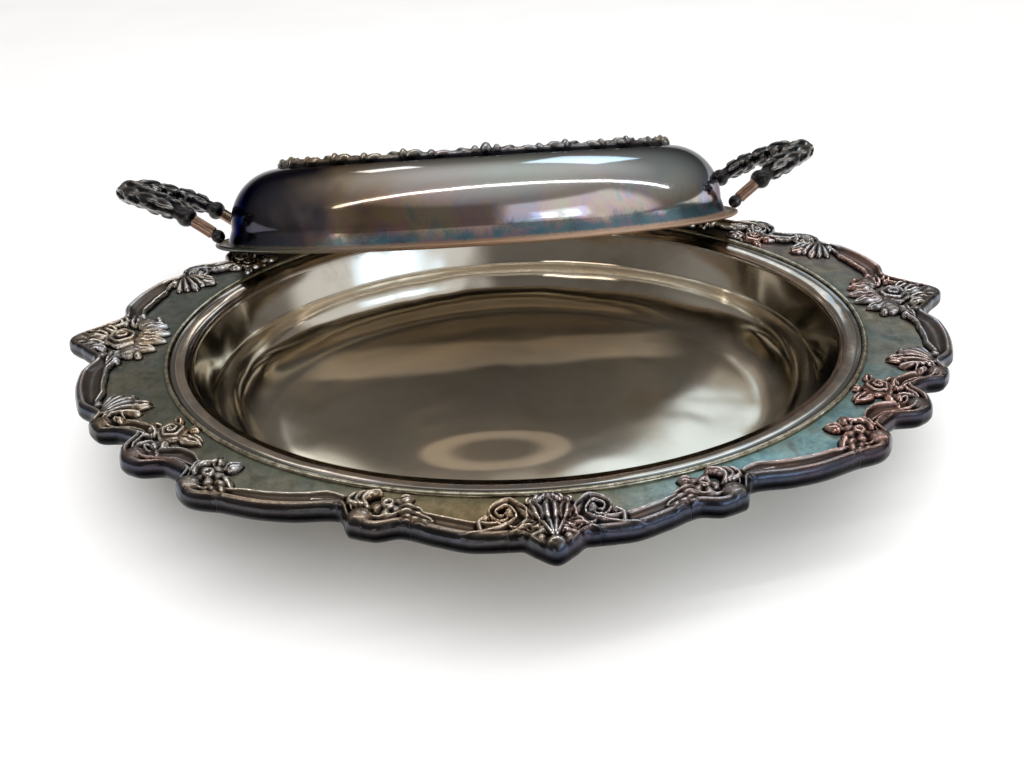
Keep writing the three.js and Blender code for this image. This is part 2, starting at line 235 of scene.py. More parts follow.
def meshObject(name, points, faces, finish, attributes=None):
    mesh = bpy.data.meshes.new(name)
    mesh.from_pydata([tuple(p) for p in points], [], faces)
    for key, values in (attributes or {}).items():
        layer = mesh.attributes.new(key, "FLOAT", "POINT")
        layer.data.foreach_set("value", np.asarray(values, np.float32))
    mesh.materials.append(finish)
    mesh.polygons.foreach_set("use_smooth", [True] * len(mesh.polygons))
    return linked(name, mesh)


def tubeFaces(rows, columns):
    # quads between the points of a grid stored row after row, each row closed on itself
    r, c = np.meshgrid(np.arange(rows - 1), np.arange(columns), indexing="ij")
    nextC = (c + 1) % columns
    quads = np.stack([r * columns + c, r * columns + nextC, (r + 1) * columns + nextC,
                      (r + 1) * columns + c], -1)
    return quads.reshape(-1, 4).tolist()


def catmull(keys, count):
    # an even walk along a smooth curve through the key points
    keys = np.asarray(keys, float)
    padded = np.vstack([2 * keys[0] - keys[1], keys, 2 * keys[-1] - keys[-2]])
    spans = len(keys) - 1
    t = np.linspace(0, spans, spans * 24 + 1)
    i = np.minimum(t.astype(int), spans - 1)
    f = (t - i)[:, None]
    p0, p1, p2, p3 = padded[i], padded[i + 1], padded[i + 2], padded[i + 3]
    curve = 0.5 * (2 * p1 + (p2 - p0) * f + (2 * p0 - 5 * p1 + 4 * p2 - p3) * f**2
                   + (3 * p1 - p0 - 3 * p2 + p3) * f**3)
    walked = np.concatenate([[0], np.cumsum(np.linalg.norm(np.diff(curve, axis=0), axis=1))])
    even = np.linspace(0, walked[-1], count)
    return np.stack([np.interp(even, walked, curve[:, k]) for k in range(keys.shape[1])], 1)


def besideOval(halfLength, halfWidth, angle, offset):
    x, y = halfLength * np.cos(angle), halfWidth * np.sin(angle)
    nx, ny = halfWidth * np.cos(angle), halfLength * np.sin(angle)
    size = np.hypot(nx, ny)
    return x + nx / size * offset, y + ny / size * offset


def fieldTree(name, inputs):
    tree = bpy.data.node_groups.new(name, "GeometryNodeTree")
    for label, kind in inputs:
        tree.interface.new_socket(label, in_out="INPUT", socket_type=kind)
    tree.interface.new_socket("Geometry", in_out="OUTPUT", socket_type="NodeSocketGeometry")
    return tree


def ovalSweepTree():
    # profile points hold the offset outside the oval, the shrink towards its middle and the height
    tree = fieldTree("ovalSweep", [
        ("Geometry", "NodeSocketGeometry"), ("Half Length", "NodeSocketFloat"),
        ("Half Width", "NodeSocketFloat"), ("Around", "NodeSocketInt"), ("Along", "NodeSocketInt"),
        ("Finish", "NodeSocketMaterial"),
    ])
    made = functools.partial(addNode, tree)
    given = {s.name: Wire(tree, s) for s in made("NodeGroupInput").outputs if s.name}
    grid = made("GeometryNodeMeshGrid", Size_X=1.0, Size_Y=1.0, Vertices_X=given["Around"],
                Vertices_Y=given["Along"])
    spot = made("ShaderNodeSeparateXYZ", Vector=made("GeometryNodeInputPosition").outputs[0])
    angle = (Wire(tree, spot.outputs[0]) + 0.5) * (2 * math.pi)
    row = (Wire(tree, spot.outputs[1]) + 0.5) * (given["Along"] - 1.0)
    position = made("GeometryNodeInputPosition").outputs[0]
    sampled = made("GeometryNodeSampleIndex", {"data_type": "FLOAT_VECTOR", "domain": "POINT"},
                   Geometry=given["Geometry"], Index=row.math("ROUND"), Value=position)
    part = made("ShaderNodeSeparateXYZ", Vector=sampled.outputs[0])
    offset, shrink, height = (Wire(tree, o) for o in part.outputs)
    cosine, sine = angle.math("COSINE"), angle.math("SINE")
    leanX, leanY = given["Half Width"] * cosine, given["Half Length"] * sine
    size = (leanX * leanX + leanY * leanY).math("SQRT")
    keep = 1 - shrink
    x = (given["Half Length"] * cosine + leanX / size * offset) * keep
    y = (given["Half Width"] * sine + leanY / size * offset) * keep
    spotOut = made("ShaderNodeCombineXYZ", X=x, Y=y, Z=height)
    stored = made("GeometryNodeStoreNamedAttribute", {"data_type": "FLOAT", "domain": "POINT"},
                  Geometry=grid.outputs[0], Name="beyond", Value=offset)
    moved = made("GeometryNodeSetPosition", Geometry=stored.outputs[0], Position=spotOut.outputs[0])
    merged = made("GeometryNodeMergeByDistance", Geometry=moved.outputs[0], Distance=1e-6)
    smooth = made("GeometryNodeSetShadeSmooth", Geometry=merged.outputs[0])
    real = made("GeometryNodeRealizeInstances", Geometry=smooth.outputs[0])
    coated = made("GeometryNodeSetMaterial", Geometry=real.outputs[0], Material=given["Finish"])
    made("NodeGroupOutput", i0=coated.outputs[0])
    return tree


sweepTree = ovalSweepTree()


def setInput(modifier, label, value):
    for item in modifier.node_group.interface.items_tree:
        if item.item_type == "SOCKET" and item.in_out == "INPUT" and item.name == label:
            modifier[item.identifier] = value


def ovalSweep(name, profile, halfLength, halfWidth, around, finish):
    mesh = bpy.data.meshes.new(name + "Profile")
    mesh.from_pydata([tuple(p) for p in profile], [], [])
    carrier = linked(name + "Profile", mesh)
    modifier = carrier.modifiers.new("sweep", "NODES")
    modifier.node_group = sweepTree
    given = {"Half Length": halfLength, "Half Width": halfWidth, "Around": around + 1,
             "Along": len(profile), "Finish": finish}
    for label, value in given.items():
        setInput(modifier, label, value)
    seen = carrier.evaluated_get(bpy.context.evaluated_depsgraph_get())
    swept = bpy.data.meshes.new_from_object(seen)
    bpy.data.objects.remove(carrier)
    swept.name = name
    outwards(swept)
    return linked(name, swept)


def outwards(mesh):
    # turns every face out if the closed mesh came out inside out
    points = vertexPlaces(mesh)
    mesh.calc_loop_triangles()
    corners = np.empty(len(mesh.loop_triangles) * 3, int)
    mesh.loop_triangles.foreach_get("vertices", corners)
    a, b, c = (points[corners.reshape(-1, 3)[:, k]] for k in range(3))
    if np.einsum("ij,ij->i", a, np.cross(b, c)).sum() < 0:
        mesh.flip_normals()


def arc(fromPoint, toPoint, steps, startsUpright):
    # quarter-round points from one [offset, height] to another, without the first
    t = np.linspace(0, math.pi / 2, steps + 1)[1:]
    across = 1 - np.cos(t) if startsUpright else np.sin(t)
    along = np.sin(t) if startsUpright else 1 - np.cos(t)
    (x0, z0), (x1, z1) = fromPoint, toPoint
    return [(x0 + (x1 - x0) * u, z0 + (z1 - z0) * v) for u, v in zip(across, along)]


# the dish's one sheet: border, bead step, ledge, wall and floor
dish = {
    "beadWidth": 3.4, "beadHeight": 1.8, "grooveWidth": 2.6, "grooveDepth": 0.7, "ledgeWidth": 9.0,
    "ledgeDrop": 5.0, "wallLean": 9.0, "bottomCurve": 32.0, "sheet": 1.4, "rimHide": 5.0,
}
halfLength = beadHigh.x - dish["beadWidth"] / 2 * mm
halfWidth = beadHigh.y - dish["beadWidth"] / 2 * mm
topZ = borderTop / mm

# the border's scalloped edge over one quadrant: angle on the bead oval, how far out it stands
edgeKeys = [
    (0, 61), (3.4, 49), (6.8, 40), (10.4, 45.5), (14.2, 46.5), (18.9, 45.5), (23, 39.5), (24.7, 43),
    (27, 41.5), (29.3, 33), (31.8, 29.5), (33.2, 37.5), (35.4, 40.5), (37.6, 38.5), (40.9, 29.5), (44, 28.5),
    (45.2, 35.5), (47.5, 37.5), (51.9, 33), (56.5, 30), (60.2, 26.5), (65.8, 20.5), (68, 28.5), (70.6, 29),
    (73.6, 25.5), (77.5, 28.5), (81.8, 31.5), (86.5, 31), (88, 35), (90, 39.5),
]


def smoothTable(keys, count=1600):
    # a smooth curve through the keys without overshoot, kept as a dense table
    keys = np.array(keys, float)
    x, y = keys[:, 0], keys[:, 1]
    slope = np.gradient(y, x)
    steps = np.diff(y) / np.diff(x)
    for i in range(1, len(x) - 1):
        before, after = steps[i - 1], steps[i]
        slope[i] = 0 if before * after <= 0 else 2 * before * after / (before + after)
    slope[0] = slope[-1] = 0
    at = np.linspace(x[0], x[-1], count)
    i = np.clip(np.searchsorted(x, at) - 1, 0, len(x) - 2)
    h = x[i + 1] - x[i]
    t = (at - x[i]) / h
    value = ((1 + 2 * t) * (1 - t) ** 2 * y[i] + t * (1 - t) ** 2 * h * slope[i]
             + t * t * (3 - 2 * t) * y[i + 1] + t * t * (t - 1) * h * slope[i + 1])
    return at, value


edgeTable = smoothTable(edgeKeys)


def folded(angle):
    return np.degrees(np.arccos(np.clip(np.abs(np.cos(angle)), 0, 1)))


def edgeOffset(angle):
    return np.interp(folded(angle), *edgeTable)


def dishProfile():
    d = dish
    grooveIn = -d["beadWidth"] / 2 - d["grooveWidth"]
    ledgeIn = grooveIn - d["ledgeWidth"]
    wallIn = ledgeIn - d["wallLean"]
    floorIn = wallIn - d["bottomCurve"]
    lipTop = topZ - d["grooveDepth"]
    wallTop = topZ - d["ledgeDrop"]
    curveTop = d["sheet"] + d["bottomCurve"]
    lip = [(grooveIn, lipTop)] + arc((grooveIn, lipTop), (ledgeIn, wallTop), 14, False)
    wall = [(ledgeIn + (wallIn - ledgeIn) * t, wallTop + (curveTop - wallTop) * t)
            for t in np.linspace(0.04, 1, 10)]
    bowl = arc((wallIn, curveTop), (floorIn, d["sheet"]), 26, True)
    border = [(t, topZ) for t in (1.0, 0.9, 0.7, 0.5, 0.3, 0.15, 0.05)]
    inside = [(-d["beadWidth"] / 2 - 0.1, topZ), (grooveIn + 0.5, lipTop - 0.1)] + lip + wall + bowl
    under = [(ledgeIn + d["sheet"], topZ - d["sheet"]), (ledgeIn + d["sheet"], wallTop),
             (wallIn + d["sheet"], curveTop)]
    under += arc((wallIn + d["sheet"], curveTop), (floorIn, 0), 12, True)
    shrinks = np.linspace(0, 1, 9)[1:]
    top = [(o * mm, 0, z * mm) for o, z in border + [(0, topZ)] + inside]
    top += [(floorIn * mm, s, d["sheet"] * mm) for s in shrinks]
    lowBorder = [(1.0, topZ - d["sheet"] * 0.5), (0.9, topZ - d["sheet"]), (0, topZ - d["sheet"])]
    low = [(o * mm, 0, z * mm) for o, z in lowBorder + under]
    low += [(floorIn * mm, s, 0) for s in shrinks]
    return top[::-1] + low


def stretchBorder(piece):
    # the flat border's offsets run 0 to 1 until here; now they reach out under the castings
    mesh = piece.data
    points = vertexPlaces(mesh)
    beyond = np.empty(len(mesh.vertices))
    mesh.attributes["beyond"].data.foreach_get("value", beyond)
    flat = beyond > 1e-7
    angle = np.arctan2(points[flat, 1] / halfWidth, points[flat, 0] / halfLength)
    share = beyond[flat] / mm
    reach = share * (edgeOffset(angle) - dish["rimHide"]) * mm
    x, y = besideOval(halfLength, halfWidth, angle, reach)
    points[flat, 0], points[flat, 1] = x, y
    beyond[flat] = reach
    mesh.vertices.foreach_set("co", points.ravel())
    mesh.attributes["beyond"].data.foreach_set("value", beyond)
    mesh.update()


def besideBead(degrees, offset):
    # a place on the border, the way towards the long side's middle, and the way out
    angle = math.radians(degrees)
    a, b = halfLength / mm, halfWidth / mm
    x, y = besideOval(a, b, angle, offset)
    out = Vector((b * math.cos(angle), a * math.sin(angle))).normalized()
    return (float(x), float(y)), (-out.y, out.x), (out.x, out.y)


def onStrip(x, y):
    return (x, y), (1, 0), (0, 1)


lowGround = -0.6


class Relief:
    # the highest of many small cast shapes over a set of places, all in millimetres
    def __init__(self, x, y, locate):
        self.x, self.y = x.ravel(), y.ravel()
        self.shape = x.shape
        self.height = np.full(self.x.shape, lowGround)
        self.locate = locate

    def raised(self, near, body):
        self.height[near] = np.maximum(self.height[near], body)

    def around(self, at, direction, radius):
        # local axes of a shape: the places near it, how far ahead and how far aside
        place, side, out = self.locate(*at)
        turn = math.radians(direction)
        aheadX = side[0] * math.cos(turn) + out[0] * math.sin(turn)
        aheadY = side[1] * math.cos(turn) + out[1] * math.sin(turn)
        dx, dy = self.x - place[0], self.y - place[1]
        near = np.flatnonzero(dx * dx + dy * dy < radius * radius)
        dx, dy = dx[near], dy[near]
        return near, dx * aheadX + dy * aheadY, dy * aheadX - dx * aheadY

    def ground(self, body):
        self.height = np.maximum(self.height, body.ravel())

    def ball(self, at, radius, height):
        near, u, v = self.around(at, 0, radius)
        self.raised(near, height * np.maximum(1 - (u * u + v * v) / radius**2, 0) ** 0.45)

    def petal(self, at, direction, length, width, height, curl=0.0, veins=0.0):
        near, u, v = self.around(at, direction, length * 1.3)
        a = u / length
        v = v - curl * width * a * a
        shape = np.sin(np.pi * np.clip(a, 0, 1) ** 0.75) ** 0.65
        s = np.abs(v) / np.maximum(width / 2 * shape, 1e-3)
        rise = height * (0.45 + 0.55 * np.sin(np.pi * np.clip(a * 0.8 + 0.15, 0, 1)))
        body = rise * np.maximum(1 - s**2, 0) ** 0.4
        body -= 0.34 * height * np.exp(-((s / 0.2) ** 2)) * (a < 0.92)
        if veins:
            body += 0.12 * height * np.cos(veins * (a * 9 + s * 2.4)) * np.clip(1 - s, 0, 1)
        self.raised(near, np.where((a > 0) & (a < 1) & (s < 1), body, lowGround))

    def petals(self, *rows):
        for angle, offset, *shape in rows:
            self.petal((angle, offset), *shape)

    def balls(self, *rows):
        for angle, offset, *shape in rows:
            self.ball((angle, offset), *shape)

    def ringFlower(self, at, radius, height, count=5, turn=0.0):
        near, u, v = self.around(at, turn, radius)
        r = np.hypot(u, v)
        lobe = np.abs(np.cos(np.arctan2(v, u) * count / 2))
        s = r / (radius * (0.66 + 0.34 * lobe**0.6))
        petals = height * 0.74 * np.maximum(1 - s**4, 0) ** 0.5 * (0.6 + 0.4 * lobe**0.7)
        eye = radius * 0.34
        ring = height * np.maximum(1 - ((r - eye * 0.72) / (eye * 0.45)) ** 2, 0) ** 0.5
        body = np.where(r < eye, height * 0.25, np.where(s < 1, petals, lowGround))
        self.raised(near, np.maximum(body, np.where(ring > 0, ring, lowGround)))

    def rose(self, at, radius, height):
        near, u, v = self.around(at, 0, radius * 1.1)
        r = np.hypot(u, v) / radius
        angle = np.arctan2(v, u)
        scallop = 1 + 0.07 * np.cos(5 * angle)
        whorl = (r * 2.7 / scallop - angle / (2 * np.pi)) % 1.0
        dome = height * np.maximum(1 - (r / scallop) ** 2 * 0.8, 0) ** 0.5
        self.raised(near, np.where(r < scallop, dome * (0.58 + 0.42 * whorl**1.6), lowGround))

    def fan(self, at, direction, radius, spread, height, ribs):
        near, u, v = self.around(at, direction, radius)
        angle = np.arctan2(v, u)
        half = math.radians(spread) / 2
        rib = np.abs(np.sin(angle * ribs * math.pi / (2 * half)))
        s = np.hypot(u, v) / (radius * (0.88 + 0.12 * rib))
        body = height * (0.42 + 0.58 * rib**0.7) * np.maximum(1 - ((s - 0.45) / 0.6) ** 2, 0) ** 0.5
        body = body * np.maximum(1 - (angle / half) ** 2, 0) ** 0.15
        self.raised(near, np.where((s < 1) & (np.abs(angle) < half), body, lowGround))

    def trough(self, keys, widths, height, eye=0.0, scoop=0.66):
        # a scroll body along a path, scooped between two thin ridges or round, ending in an eye
        path = catmull([self.locate(*k)[0] for k in keys], 70)
        low, high = path.min(0) - 7, path.max(0) + 7
        near = np.flatnonzero((self.x > low[0]) & (self.x < high[0]) & (self.y > low[1]) & (self.y < high[1]))
        if not len(near):
            return
        square = (self.x[near, None] - path[None, :, 0]) ** 2 + (self.y[near, None] - path[None, :, 1]) ** 2
        width = np.interp(square.argmin(1) / 69, np.linspace(0, 1, len(widths)), widths)
        s = np.sqrt(square.min(1)) / (width / 2)
        hollow = 1 - scoop + scoop * np.clip(s / 0.8, 0, 1) ** 3
        side = np.maximum(1 - ((s - 0.8) / 0.2) ** 2, 0) ** 0.5
        body = height * (np.where(s < 0.8, hollow, side) if scoop else np.maximum(1 - s * s, 0) ** 0.5)
        body = np.where(s < 1, body, lowGround)
        if eye:
            r = np.hypot(self.x[near] - path[-1, 0], self.y[near] - path[-1, 1]) / eye
            bulb = height * 1.12 * np.maximum(1 - r * r, 0) ** 0.5
            body = np.maximum(body, np.where(r < 1, bulb, lowGround))
        self.raised(near, body)

    def field(self):
        return self.height.reshape(self.shape)


cast = {
    "rollWidth": 4.6, "rollHeight": 5.2, "drop": 5.0, "grid": 0.46, "ridge": 1.1, "scoop": 2.9,
    "beadGap": 2.6, "meanOutside": 25, "samplesPast": 6, "wearShadeReach": 4, "wearShadeRise": 1.0,
}

# how wide the scooped moulding is, by angle; narrow where a spray covers it
mouldingKeys = [
    (0, 7), (6.2, 9), (8, 13), (12, 15), (17, 14), (19.5, 9), (24, 7), (32, 7), (43, 7), (50.5, 8),
    (53, 10.5), (58, 11.5), (63, 12.5), (66.5, 8), (73.5, 9), (75.5, 11), (80, 11.5), (84, 10.5), (86, 7),
    (90, 6),
]


def mouldingBody(degrees, e):
    # roll at the edge (its dark is a painted reflection in the finish), ridge, scooped band, thinner inner
    # ridge
    width = np.interp(degrees, *np.array(mouldingKeys, float).T)
    roll, high = cast["rollWidth"], cast["rollHeight"]
    t = np.clip((e - roll) / np.maximum(width - roll, 0.5), 0, 1)
    bull = -1 + (high + 1) * np.clip(1 - ((roll - e) / roll) ** 2, 0, 1) ** 0.5
    scoop = high * (1 - 0.16 * t) - cast["scoop"] * np.sin(np.pi * t) ** 0.7
    inner = high * 0.84 * np.clip(1 - ((e - width) / cast["ridge"]) ** 2, 0, 1) ** 0.5
    body = np.where(e < width, scoop, np.where(e < width + cast["ridge"], inner, lowGround))
    return np.where(e < roll, bull, body)


def cartouche(r):
    scroll = [(79.4, 31), (81.2, 30.5), (84.1, 27.4), (86.0, 22.5), (86.6, 15), (85.1, 8.6), (83.4, 12.8),
              (84.2, 18.4), (85.3, 16)]
    r.trough(scroll, (3, 6, 7.4, 7.6, 6.6, 5.6, 4.6, 4, 3.4), 6.4, 2.0)
    r.trough([(82.3, 25.5), (82.0, 20), (82.7, 17.6)], (3, 3.2, 3.2), 4.6, 1.9, scoop=0)
    r.petals((90, 21, -90, 15, 9.5, 7.4), (88.8, 20, -98, 13, 7, 6.4, 0.3),
             (87.9, 19.5, -116, 12, 6, 5.4, 0.3), (88.4, 7.5, -60, 6, 5, 4.2),
             (89.6, 6.6, -82, 5.5, 4.6, 4.4), (87.2, 8.4, -48, 5.5, 4.6, 4.0),
             (89.2, 22, 120, 9, 6, 6.2, -0.5, 1.3), (88.2, 20, 140, 11, 6.4, 5.8, -0.5, 1.3))
    r.fan((90, 32.5), -90, 14.5, 84, 7.8, 5)
    r.balls((88.6, 31, 3.0, 6.0), (86.7, 28.5, 2.6, 5.4), (87.9, 25, 2.2, 5.2), (90, 34.6, 5.2, 7.6))
    r.trough([(88.9, 27), (87.6, 30), (88.2, 33.5)], (3, 4, 3.4), 5.6, scoop=0)


def innerSpray(r):
    r.ball((68.7, 22.6), 6.4, 6.8)
    r.ringFlower((71.4, 13.6), 7.8, 6.6, 5, 20)
    for start, ahead, long in (((72.2, 14), 8, 13), ((73.4, 18), 14, 14), ((74.6, 22), 18, 12),
                               ((72.8, 21), 4, 11), ((74.2, 24.6), 14, 12)):
        r.petal(start, ahead, long, 8.6, 5.7, curl=0.2, veins=1.3)
    r.petal((72.2, 8.6), -30, 7, 5.6, 4.6)
    for k in range(3):
        rib = [(69.7 - k * 0.95, 5.6 + k * 0.9), (68.5 - k * 0.95, 7.5 + k * 1.2),
               (68.1 - k * 0.8, 11.5 + k * 1.2), (68.9 - k * 0.6, 15.4)]
        r.trough(rib, (2.6, 3.8, 3.9, 3.4), 5.6 - 0.2 * k, scoop=0)
    r.trough([(62, 17.5), (64, 16), (65.6, 15.2), (66.2, 17.4), (65.4, 18.6)], (2.4, 2.6, 2.6), 5.0, 1.8,
             scoop=0)


def outerSpray(r):
    r.ball((46.3, 31.2), 6.4, 6.6)
    r.ringFlower((47.2, 21.5), 8.0, 6.2, 5, 50)
    for start, ahead, long in (((48.3, 21), 8, 13), ((49.2, 26), 16, 13), ((50.6, 29), 20, 11),
                               ((48.4, 29), 6, 11)):
        r.petal(start, ahead, long, 8.4, 5.4, curl=-0.2, veins=1.3)
    for k in range(2):
        rib = [(45.8 - k * 0.8, 14.5 + k), (44.9 - k * 0.7, 17 + k), (44.8 - k * 0.5, 21 + k), (45.4, 24.5)]
        r.trough(rib, (2.6, 3.6, 3.2), 5.2, scoop=0)
    r.petals((46.6, 16.5, -115, 9, 7, 5.0, 0, 1.4), (47.8, 15, -60, 9, 6.5, 4.6, 0, 1.4))


def cornerScrolls(r):
    r.trough([(44.2, 21.5), (42.6, 20), (40.4, 21), (38.4, 25.5), (36.2, 29.5), (34.4, 28.2), (34.6, 24.2),
              (36.4, 24.6)],
             (6, 9, 9.5, 9, 7, 5, 4, 3.6), 5.8, 2.2)
    r.balls((35.5, 34, 6.4, 5.6), (25.7, 37, 6.2, 5.6))
    r.trough([(32.6, 20), (31, 22), (29.3, 25.5), (27.6, 30.5), (25.6, 32.6), (24.6, 29.6), (25.6, 27.2),
              (26.8, 28.4)],
             (5, 8, 8.5, 8, 6, 5, 4, 3.6), 5.6, 2.0)


def roseSpray(r):
    r.rose((34.2, 12.6), 7.4, 6.4)
    r.petals((36.2, 11.5, -8, 13, 7.5, 4.4, 0.3, 1.5), (37.2, 8.6, -20, 8, 5, 3.8, 0, 1.4),
             (35.2, 18.5, 30, 12, 6.5, 4.8, -0.4, 1.4), (32.6, 15, 165, 10, 6.5, 4.6, 0.3, 1.4),
             (33, 7, 200, 8, 5.5, 3.6, 0, 1.4), (35.4, 5.6, -50, 7, 5, 3.4))
    r.ball((31.8, 19.4), 2.2, 4.4)


def shellSpray(r):
    r.fan((23.4, 37), -108, 21, 92, 6.0, 6)
    r.petals((22.9, 22.5, -62, 13, 8, 4.8, 0.2, 1.6), (21.6, 24, -120, 9, 6, 4.2, 0, 1.4))
    r.balls((24.2, 20.5, 2.4, 3.8), (20.5, 35, 3.4, 4.8))


def endSpray(r):
    r.rose((0, 30), 9.2, 7.6)
    r.petals((1.2, 39, 84, 20, 10, 5.6, 0, 1.8), (2.6, 36, 72, 15, 8, 5.4, -0.4, 1.6),
             (0.9, 22, -84, 19, 8, 5.2, 0, 1.8), (3.2, 22, -62, 15, 8, 5.2, 0.4, 1.6),
             (4.2, 28, 6, 14, 8, 5.2, -0.3, 1.6), (4.6, 34, 30, 13, 7, 5.2, 0.3, 1.5))
    r.balls((0, 54, 6.0, 5.8), (5.0, 21, 6.2, 5.8), (6.6, 16, 2.4, 4.4), (7.5, 27.5, 2.6, 4.6))


def borderRelief(angle, offset):
    # height above the flat border, the same in all four quarters
    x, y = besideOval(halfLength / mm, halfWidth / mm, angle, offset)
    relief = Relief(np.abs(x), np.abs(y), besideBead)
    relief.ground(mouldingBody(folded(angle), edgeOffset(angle) - offset))
    for ornament in (cartouche, innerSpray, outerSpray, cornerScrolls, roseSpray, shellSpray, endSpray):
        ornament(relief)
    # leaves lie down over the rolled edge instead of standing over it
    e = np.clip((edgeOffset(angle) - offset) / cast["rollWidth"], 0, 1)
    roll = -1 + (cast["rollHeight"] + 1) * (1 - (1 - e) ** 2) ** 0.5
    return np.where(e < 1, np.minimum(relief.field(), roll + 1.5 * e), relief.field())


def boxBlur(field, reach):
    # a soft average along both axes of a grid
    for axis in (0, 1):
        size = field.shape[axis]
        ends = [np.repeat(field.take([k], axis), reach, axis) for k in (0, -1)]
        padded = np.concatenate([ends[0], field, ends[1]], axis)
        total = np.cumsum(np.concatenate([np.zeros_like(padded.take([0], axis)), padded], axis), axis)
        high = total.take(range(2 * reach + 1, 2 * reach + 1 + size), axis)
        field = (high - total.take(range(size), axis)) / (2 * reach + 1)
    return field


def endCap(base, top, low, ahead):
    # closes one end between the row of top points and the row of bottom points, both from the inside out
    faces = []
    i = j = 0
    while i < len(top) - 1 or j < len(low) - 1:
        stepTop = j == len(low) - 1 or (i < len(top) - 1 and top[i + 1][0] <= low[j + 1][0])
        if stepTop:
            face = [top[i + 1][1], top[i][1], low[j][1]]
            i += 1
        else:
            face = [low[j][1], low[j + 1][1], top[i][1]]
            j += 1
        faces.append([base + k for k in (face if ahead else face[::-1])])
    return faces


def closedStrip(name, points, offset, topCount, wearAndShade, inward, finish):
    # rings of points side by side, each with topCount points on top, joined and closed at both ends
    columns, count = offset.shape
    faces = tubeFaces(columns, count)
    for k, ahead in ((0, True), (columns - 1, False)):
        top = [(offset[k, c], c) for c in range(topCount)]
        bottom = [(offset[k, c], c) for c in range(count - 1, topCount - 1, -1)]
        faces += endCap(k * count, top, bottom, ahead)
    piece = meshObject(name, points, faces, finish, {"wearAndShade": wearAndShade.ravel(), "inward": inward.ravel()})
    outwards(piece.data)
    return piece


def castingMesh(name, fromDegrees, toDegrees, reach, finish):
    # the relief as a closed solid: top, rolled outer edge, underside and both ends
    low, high = math.radians(min(fromDegrees, toDegrees)), math.radians(max(fromDegrees, toDegrees))
    around = (halfLength + halfWidth) / 2 / mm + cast["meanOutside"]
    columns = max(24, int((high - low) * around / cast["grid"]))
    rows = max(16, int(reach / cast["grid"]))
    # the relief is worked out a little past both ends, so its shading meets the neighbour's
    samples = cast["samplesPast"]
    past = samples * (high - low) / (columns - 1)
    angles = np.linspace(low - past, high + past, columns + 2 * samples)
    edge = edgeOffset(angles)
    inner = np.maximum(edge - reach, cast["beadGap"])
    share = np.linspace(0, 1, rows)
    offset = inner[:, None] * (1 - share) + edge[:, None] * share
    height = borderRelief(np.repeat(angles[:, None], rows, 1), offset)
    # how far the relief stands above its blurred self: the finish makes ridges lighter, as wear and painted
    # highlight, and hollows darker, as tarnish and painted shade
    wearAndShade = np.clip((height - boxBlur(height, cast["wearShadeReach"])) / cast["wearShadeRise"], -1, 1)
    height = boxBlur(height, 1)
    height, wearAndShade, angles, edge, inner, offset = (
        field[samples:-samples] for field in (height, wearAndShade, angles, edge, inner, offset))
    height[:, -1] = -1.2
    hidden = edge - dish["rimHide"]
    under = np.linspace(0, 1, 10)
    under = (hidden[:, None] - 0.2) * (1 - under) + inner[:, None] * under
    side = np.stack([edge + 0.1, edge - 0.3, edge - 1.3, hidden + 0.3], 1)
    allOffset = np.concatenate([offset, side, under], 1)
    lower = np.tile([-2.6, -4.0, -cast["drop"], -cast["drop"]] + [-1.1] * under.shape[1], (columns, 1))
    allHeight = np.concatenate([height, lower], 1)
    allWearAndShade = np.concatenate([wearAndShade, np.tile([-0.2, -0.5, -0.7] + [-1.0] * 11, (columns, 1))], 1)
    count = allOffset.shape[1]
    inward = np.maximum(edge[:, None] - allOffset, 0)
    x, y = besideOval(halfLength / mm, halfWidth / mm, np.repeat(angles[:, None], count, 1), allOffset)
    points = np.stack([x, y, allHeight + topZ], -1).reshape(-1, 3) * mm
    return closedStrip(name, points, allOffset, rows + 3, allWearAndShade, inward * mm, finish)


def coverProfile():
    c = cover
    wallIn, shoulderIn = -c["rimFlange"] - 1, -c["rimFlange"] - c["lean"]
    low, high, sheet = c["dome"] - c["shoulder"], c["dome"], c["sheet"]
    roll = c["roll"] / 2
    turns = np.linspace(math.pi, -math.pi * 0.62, 17)
    outside = arc((shoulderIn, low), (shoulderIn - c["shoulder"], high), 34, True)[::-1]
    outside += [(wallIn + (shoulderIn - wallIn) * t, sheet + 1 + (low - sheet - 1) * t)
                for t in np.linspace(1, 0, 9)]
    outside += [(wallIn + 0.4, sheet + 0.3), (wallIn + 1, sheet), (-c["rimFlange"] + 2, sheet),
                (-c["roll"] - 0.4, sheet)]
    outside += [(-roll + roll * math.cos(t), roll + roll * math.sin(t)) for t in turns]
    inside = [(-c["roll"] - 0.6, 0), (wallIn + 0.4, 0), (wallIn - sheet + 0.3, 1), (shoulderIn - sheet, low)]
    inside += arc((shoulderIn - sheet, low), (shoulderIn - c["shoulder"], high - sheet), 20, True)
    reach = shoulderIn - c["shoulder"]
    shrinks = np.linspace(0, 1, 14)[1:]
    top = [(reach * mm, s, (high + c["crown"] * (1 - (1 - s) ** 2)) * mm) for s in shrinks][::-1]
    low = [(reach * mm, s, (high - sheet) * mm) for s in shrinks]
    return top + [(o * mm, 0, z * mm) for o, z in outside + inside] + low


def intoCover(piece):
    piece.data.transform(coverPlace)
    piece.data.update()
    return piece


cover = {
    "dome": coverHalf.z * 2 / mm, "rimFlange": 8.0, "roll": 3.0, "lean": 5.0, "shoulder": 42.0,
    "sheet": 1.1, "crown": 1.2,
}
topInset = cover["rimFlange"] + cover["lean"] + cover["shoulder"] + 1
topOval = {
    "length": coverHalf.x / mm - topInset, "width": coverHalf.y / mm - topInset, "meanRadius": 126,
    "band": 7.0, "skirt": 0.8, "grid": 0.4,
}


def besideTop(degrees, offset):
    angle = math.radians(degrees)
    a, b = topOval["length"], topOval["width"]
    x, y = besideOval(a, b, angle, offset)
    out = Vector((b * math.cos(angle), a * math.sin(angle))).normalized()
    return (float(x), float(y)), (-out.y, out.x), (out.x, out.y)


